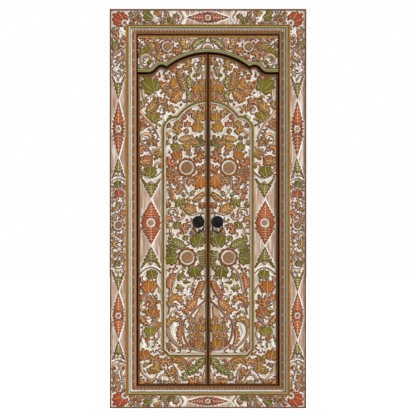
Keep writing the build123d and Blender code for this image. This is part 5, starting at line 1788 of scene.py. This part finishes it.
# Pulls
def pull_plate(name, side):
    """The forged plate: a rolled rim, a hammered dish of petals and a stepped boss."""
    rim = [(3.1, 0.0), (32.5, 0.0), (32.5, 0.7), (32.0, 1.8), (31.0, 2.5), (29.8, 2.4), (28.8, 1.5)]
    dish = [(27.6, 0.9, 0.1), (25.0, 1.3, 0.45), (21.0, 1.8, 0.55), (17.0, 1.9, 0.35), (14.6, 1.5, 0.1)]
    boss = [(13.4, 2.3), (12.2, 2.6), (11.4, 4.3), (9.6, 5.7), (8.0, 6.5), (3.1, 6.5)]
    profile = [(r, high, 0.0) for r, high in rim] + dish + [(r, high, 0.0) for r, high in boss]
    turns = np.arange(96) / 96 * 2 * math.pi
    petals = np.abs(np.sin(6 * turns))
    lines, ys = [], []
    for r, high, dent in profile:
        lines.append([(side * PULL_X + r * math.cos(a), PULL_Z + r * math.sin(a)) for a in turns])
        ys.append(FIELD_FRONT - high - dent * petals)
    plate = sweep(f"{name}_pull_rosette", lines, ys, [r for r, high, dent in profile], closed=True)
    dress(plate, black_iron, f"{name}_door", "black_iron", f"{name}_pull_plate")


pull_plate("left", -1)
pull_plate("right", 1)

# Frame members and ironwork that keep their solids
for node, obj in nodes.items():
    if node in ("sill", "head", "left_jamb", "right_jamb", "frame_pegs"):
        material = timber
    elif node.endswith(("_pin", "_socket")):
        material = pivot_iron
    elif "pull" in node or node.endswith("_ring"):
        material = black_iron
    else:
        continue
    for slot in obj.material_slots:
        slot.material = material
    if not obj.material_slots:
        obj.data.materials.append(material)


# Stage, light and camera
FLOOR_REACH = 12.0
WHITE = (1.0, 1.0, 1.0)
SKY = (1.0, 0.985, 0.96)
SKY_STRENGTH = 0.38
LENS = 100.0
SENSOR = 36.0
PHOTO_SIDE = 416.0
DOOR_IN_PHOTO = 196.7
AIM_DEPTH = -0.046
AIM_HEIGHT = 1.1036


def stage():
    """A pale floor, soft light with a key from the right, and a frontal camera."""
    floor_mesh = bpy.data.meshes.new("floor")
    corners = [(x * FLOOR_REACH, y * FLOOR_REACH, 0) for x, y in ((-1, -1), (1, -1), (1, 1), (-1, 1))]
    floor_mesh.from_pydata(corners, [], [(0, 1, 2, 3)])
    g = Paint("floor")
    g.link(srgb(250, 250, 250), g.shader.inputs["Base Color"])
    g.link(0.9, g.shader.inputs["Roughness"])
    g.link(WHITE, g.shader.inputs["Emission Color"])
    g.link(g.times(g.seen(), 0.75), g.shader.inputs["Emission Strength"])
    floor_mesh.materials.append(g.owner)
    floor = in_scene("floor", floor_mesh)

    world = bpy.data.worlds.new("studio")
    bpy.context.scene.world = world
    g = Graph(world)
    shades = []
    for colour, strength in ((SKY, SKY_STRENGTH), (WHITE, 1.0)):
        background = g.node("ShaderNodeBackground")
        g.link(colour, background.inputs[0])
        g.link(strength, background.inputs[1])
        shades.append(background.outputs[0])
    mix = g.node("ShaderNodeMixShader")
    for value, socket in zip((g.seen(), *shades), mix.inputs):
        g.link(value, socket)
    g.link(mix.outputs[0], g.node("ShaderNodeOutputWorld").inputs[0])

    sun("key", 2.65, (-0.74, 0.54, -0.42), 8.0)
    sun("fill", 0.4, (0.5, 0.8, -0.5), 40.0)
    sun("back", 1.2, (0.3, -0.9, -0.5), 40.0)

    cam = bpy.data.cameras.new("camera")
    cam.lens = LENS
    cam.sensor_width = SENSOR
    cam.clip_end = 100.0
    obj = in_scene("camera", cam)
    distance = 2 * HALF_WIDTH / 1000.0 * PHOTO_SIDE / DOOR_IN_PHOTO * LENS / SENSOR
    obj.location = (0.0, AIM_DEPTH - distance, AIM_HEIGHT)
    obj.rotation_euler = (math.pi / 2, 0.0, 0.0)
    bpy.context.scene.camera = obj
    bpy.context.scene.view_settings.view_transform = "Standard"


def sun(name, strength, direction, angle):
    """A sun lamp that shines along a direction."""
    light = bpy.data.lights.new(name, "SUN")
    light.energy = strength
    light.angle = math.radians(angle)
    in_scene(name, light).rotation_euler = Vector(direction).to_track_quat("-Z", "Y").to_euler()


stage()
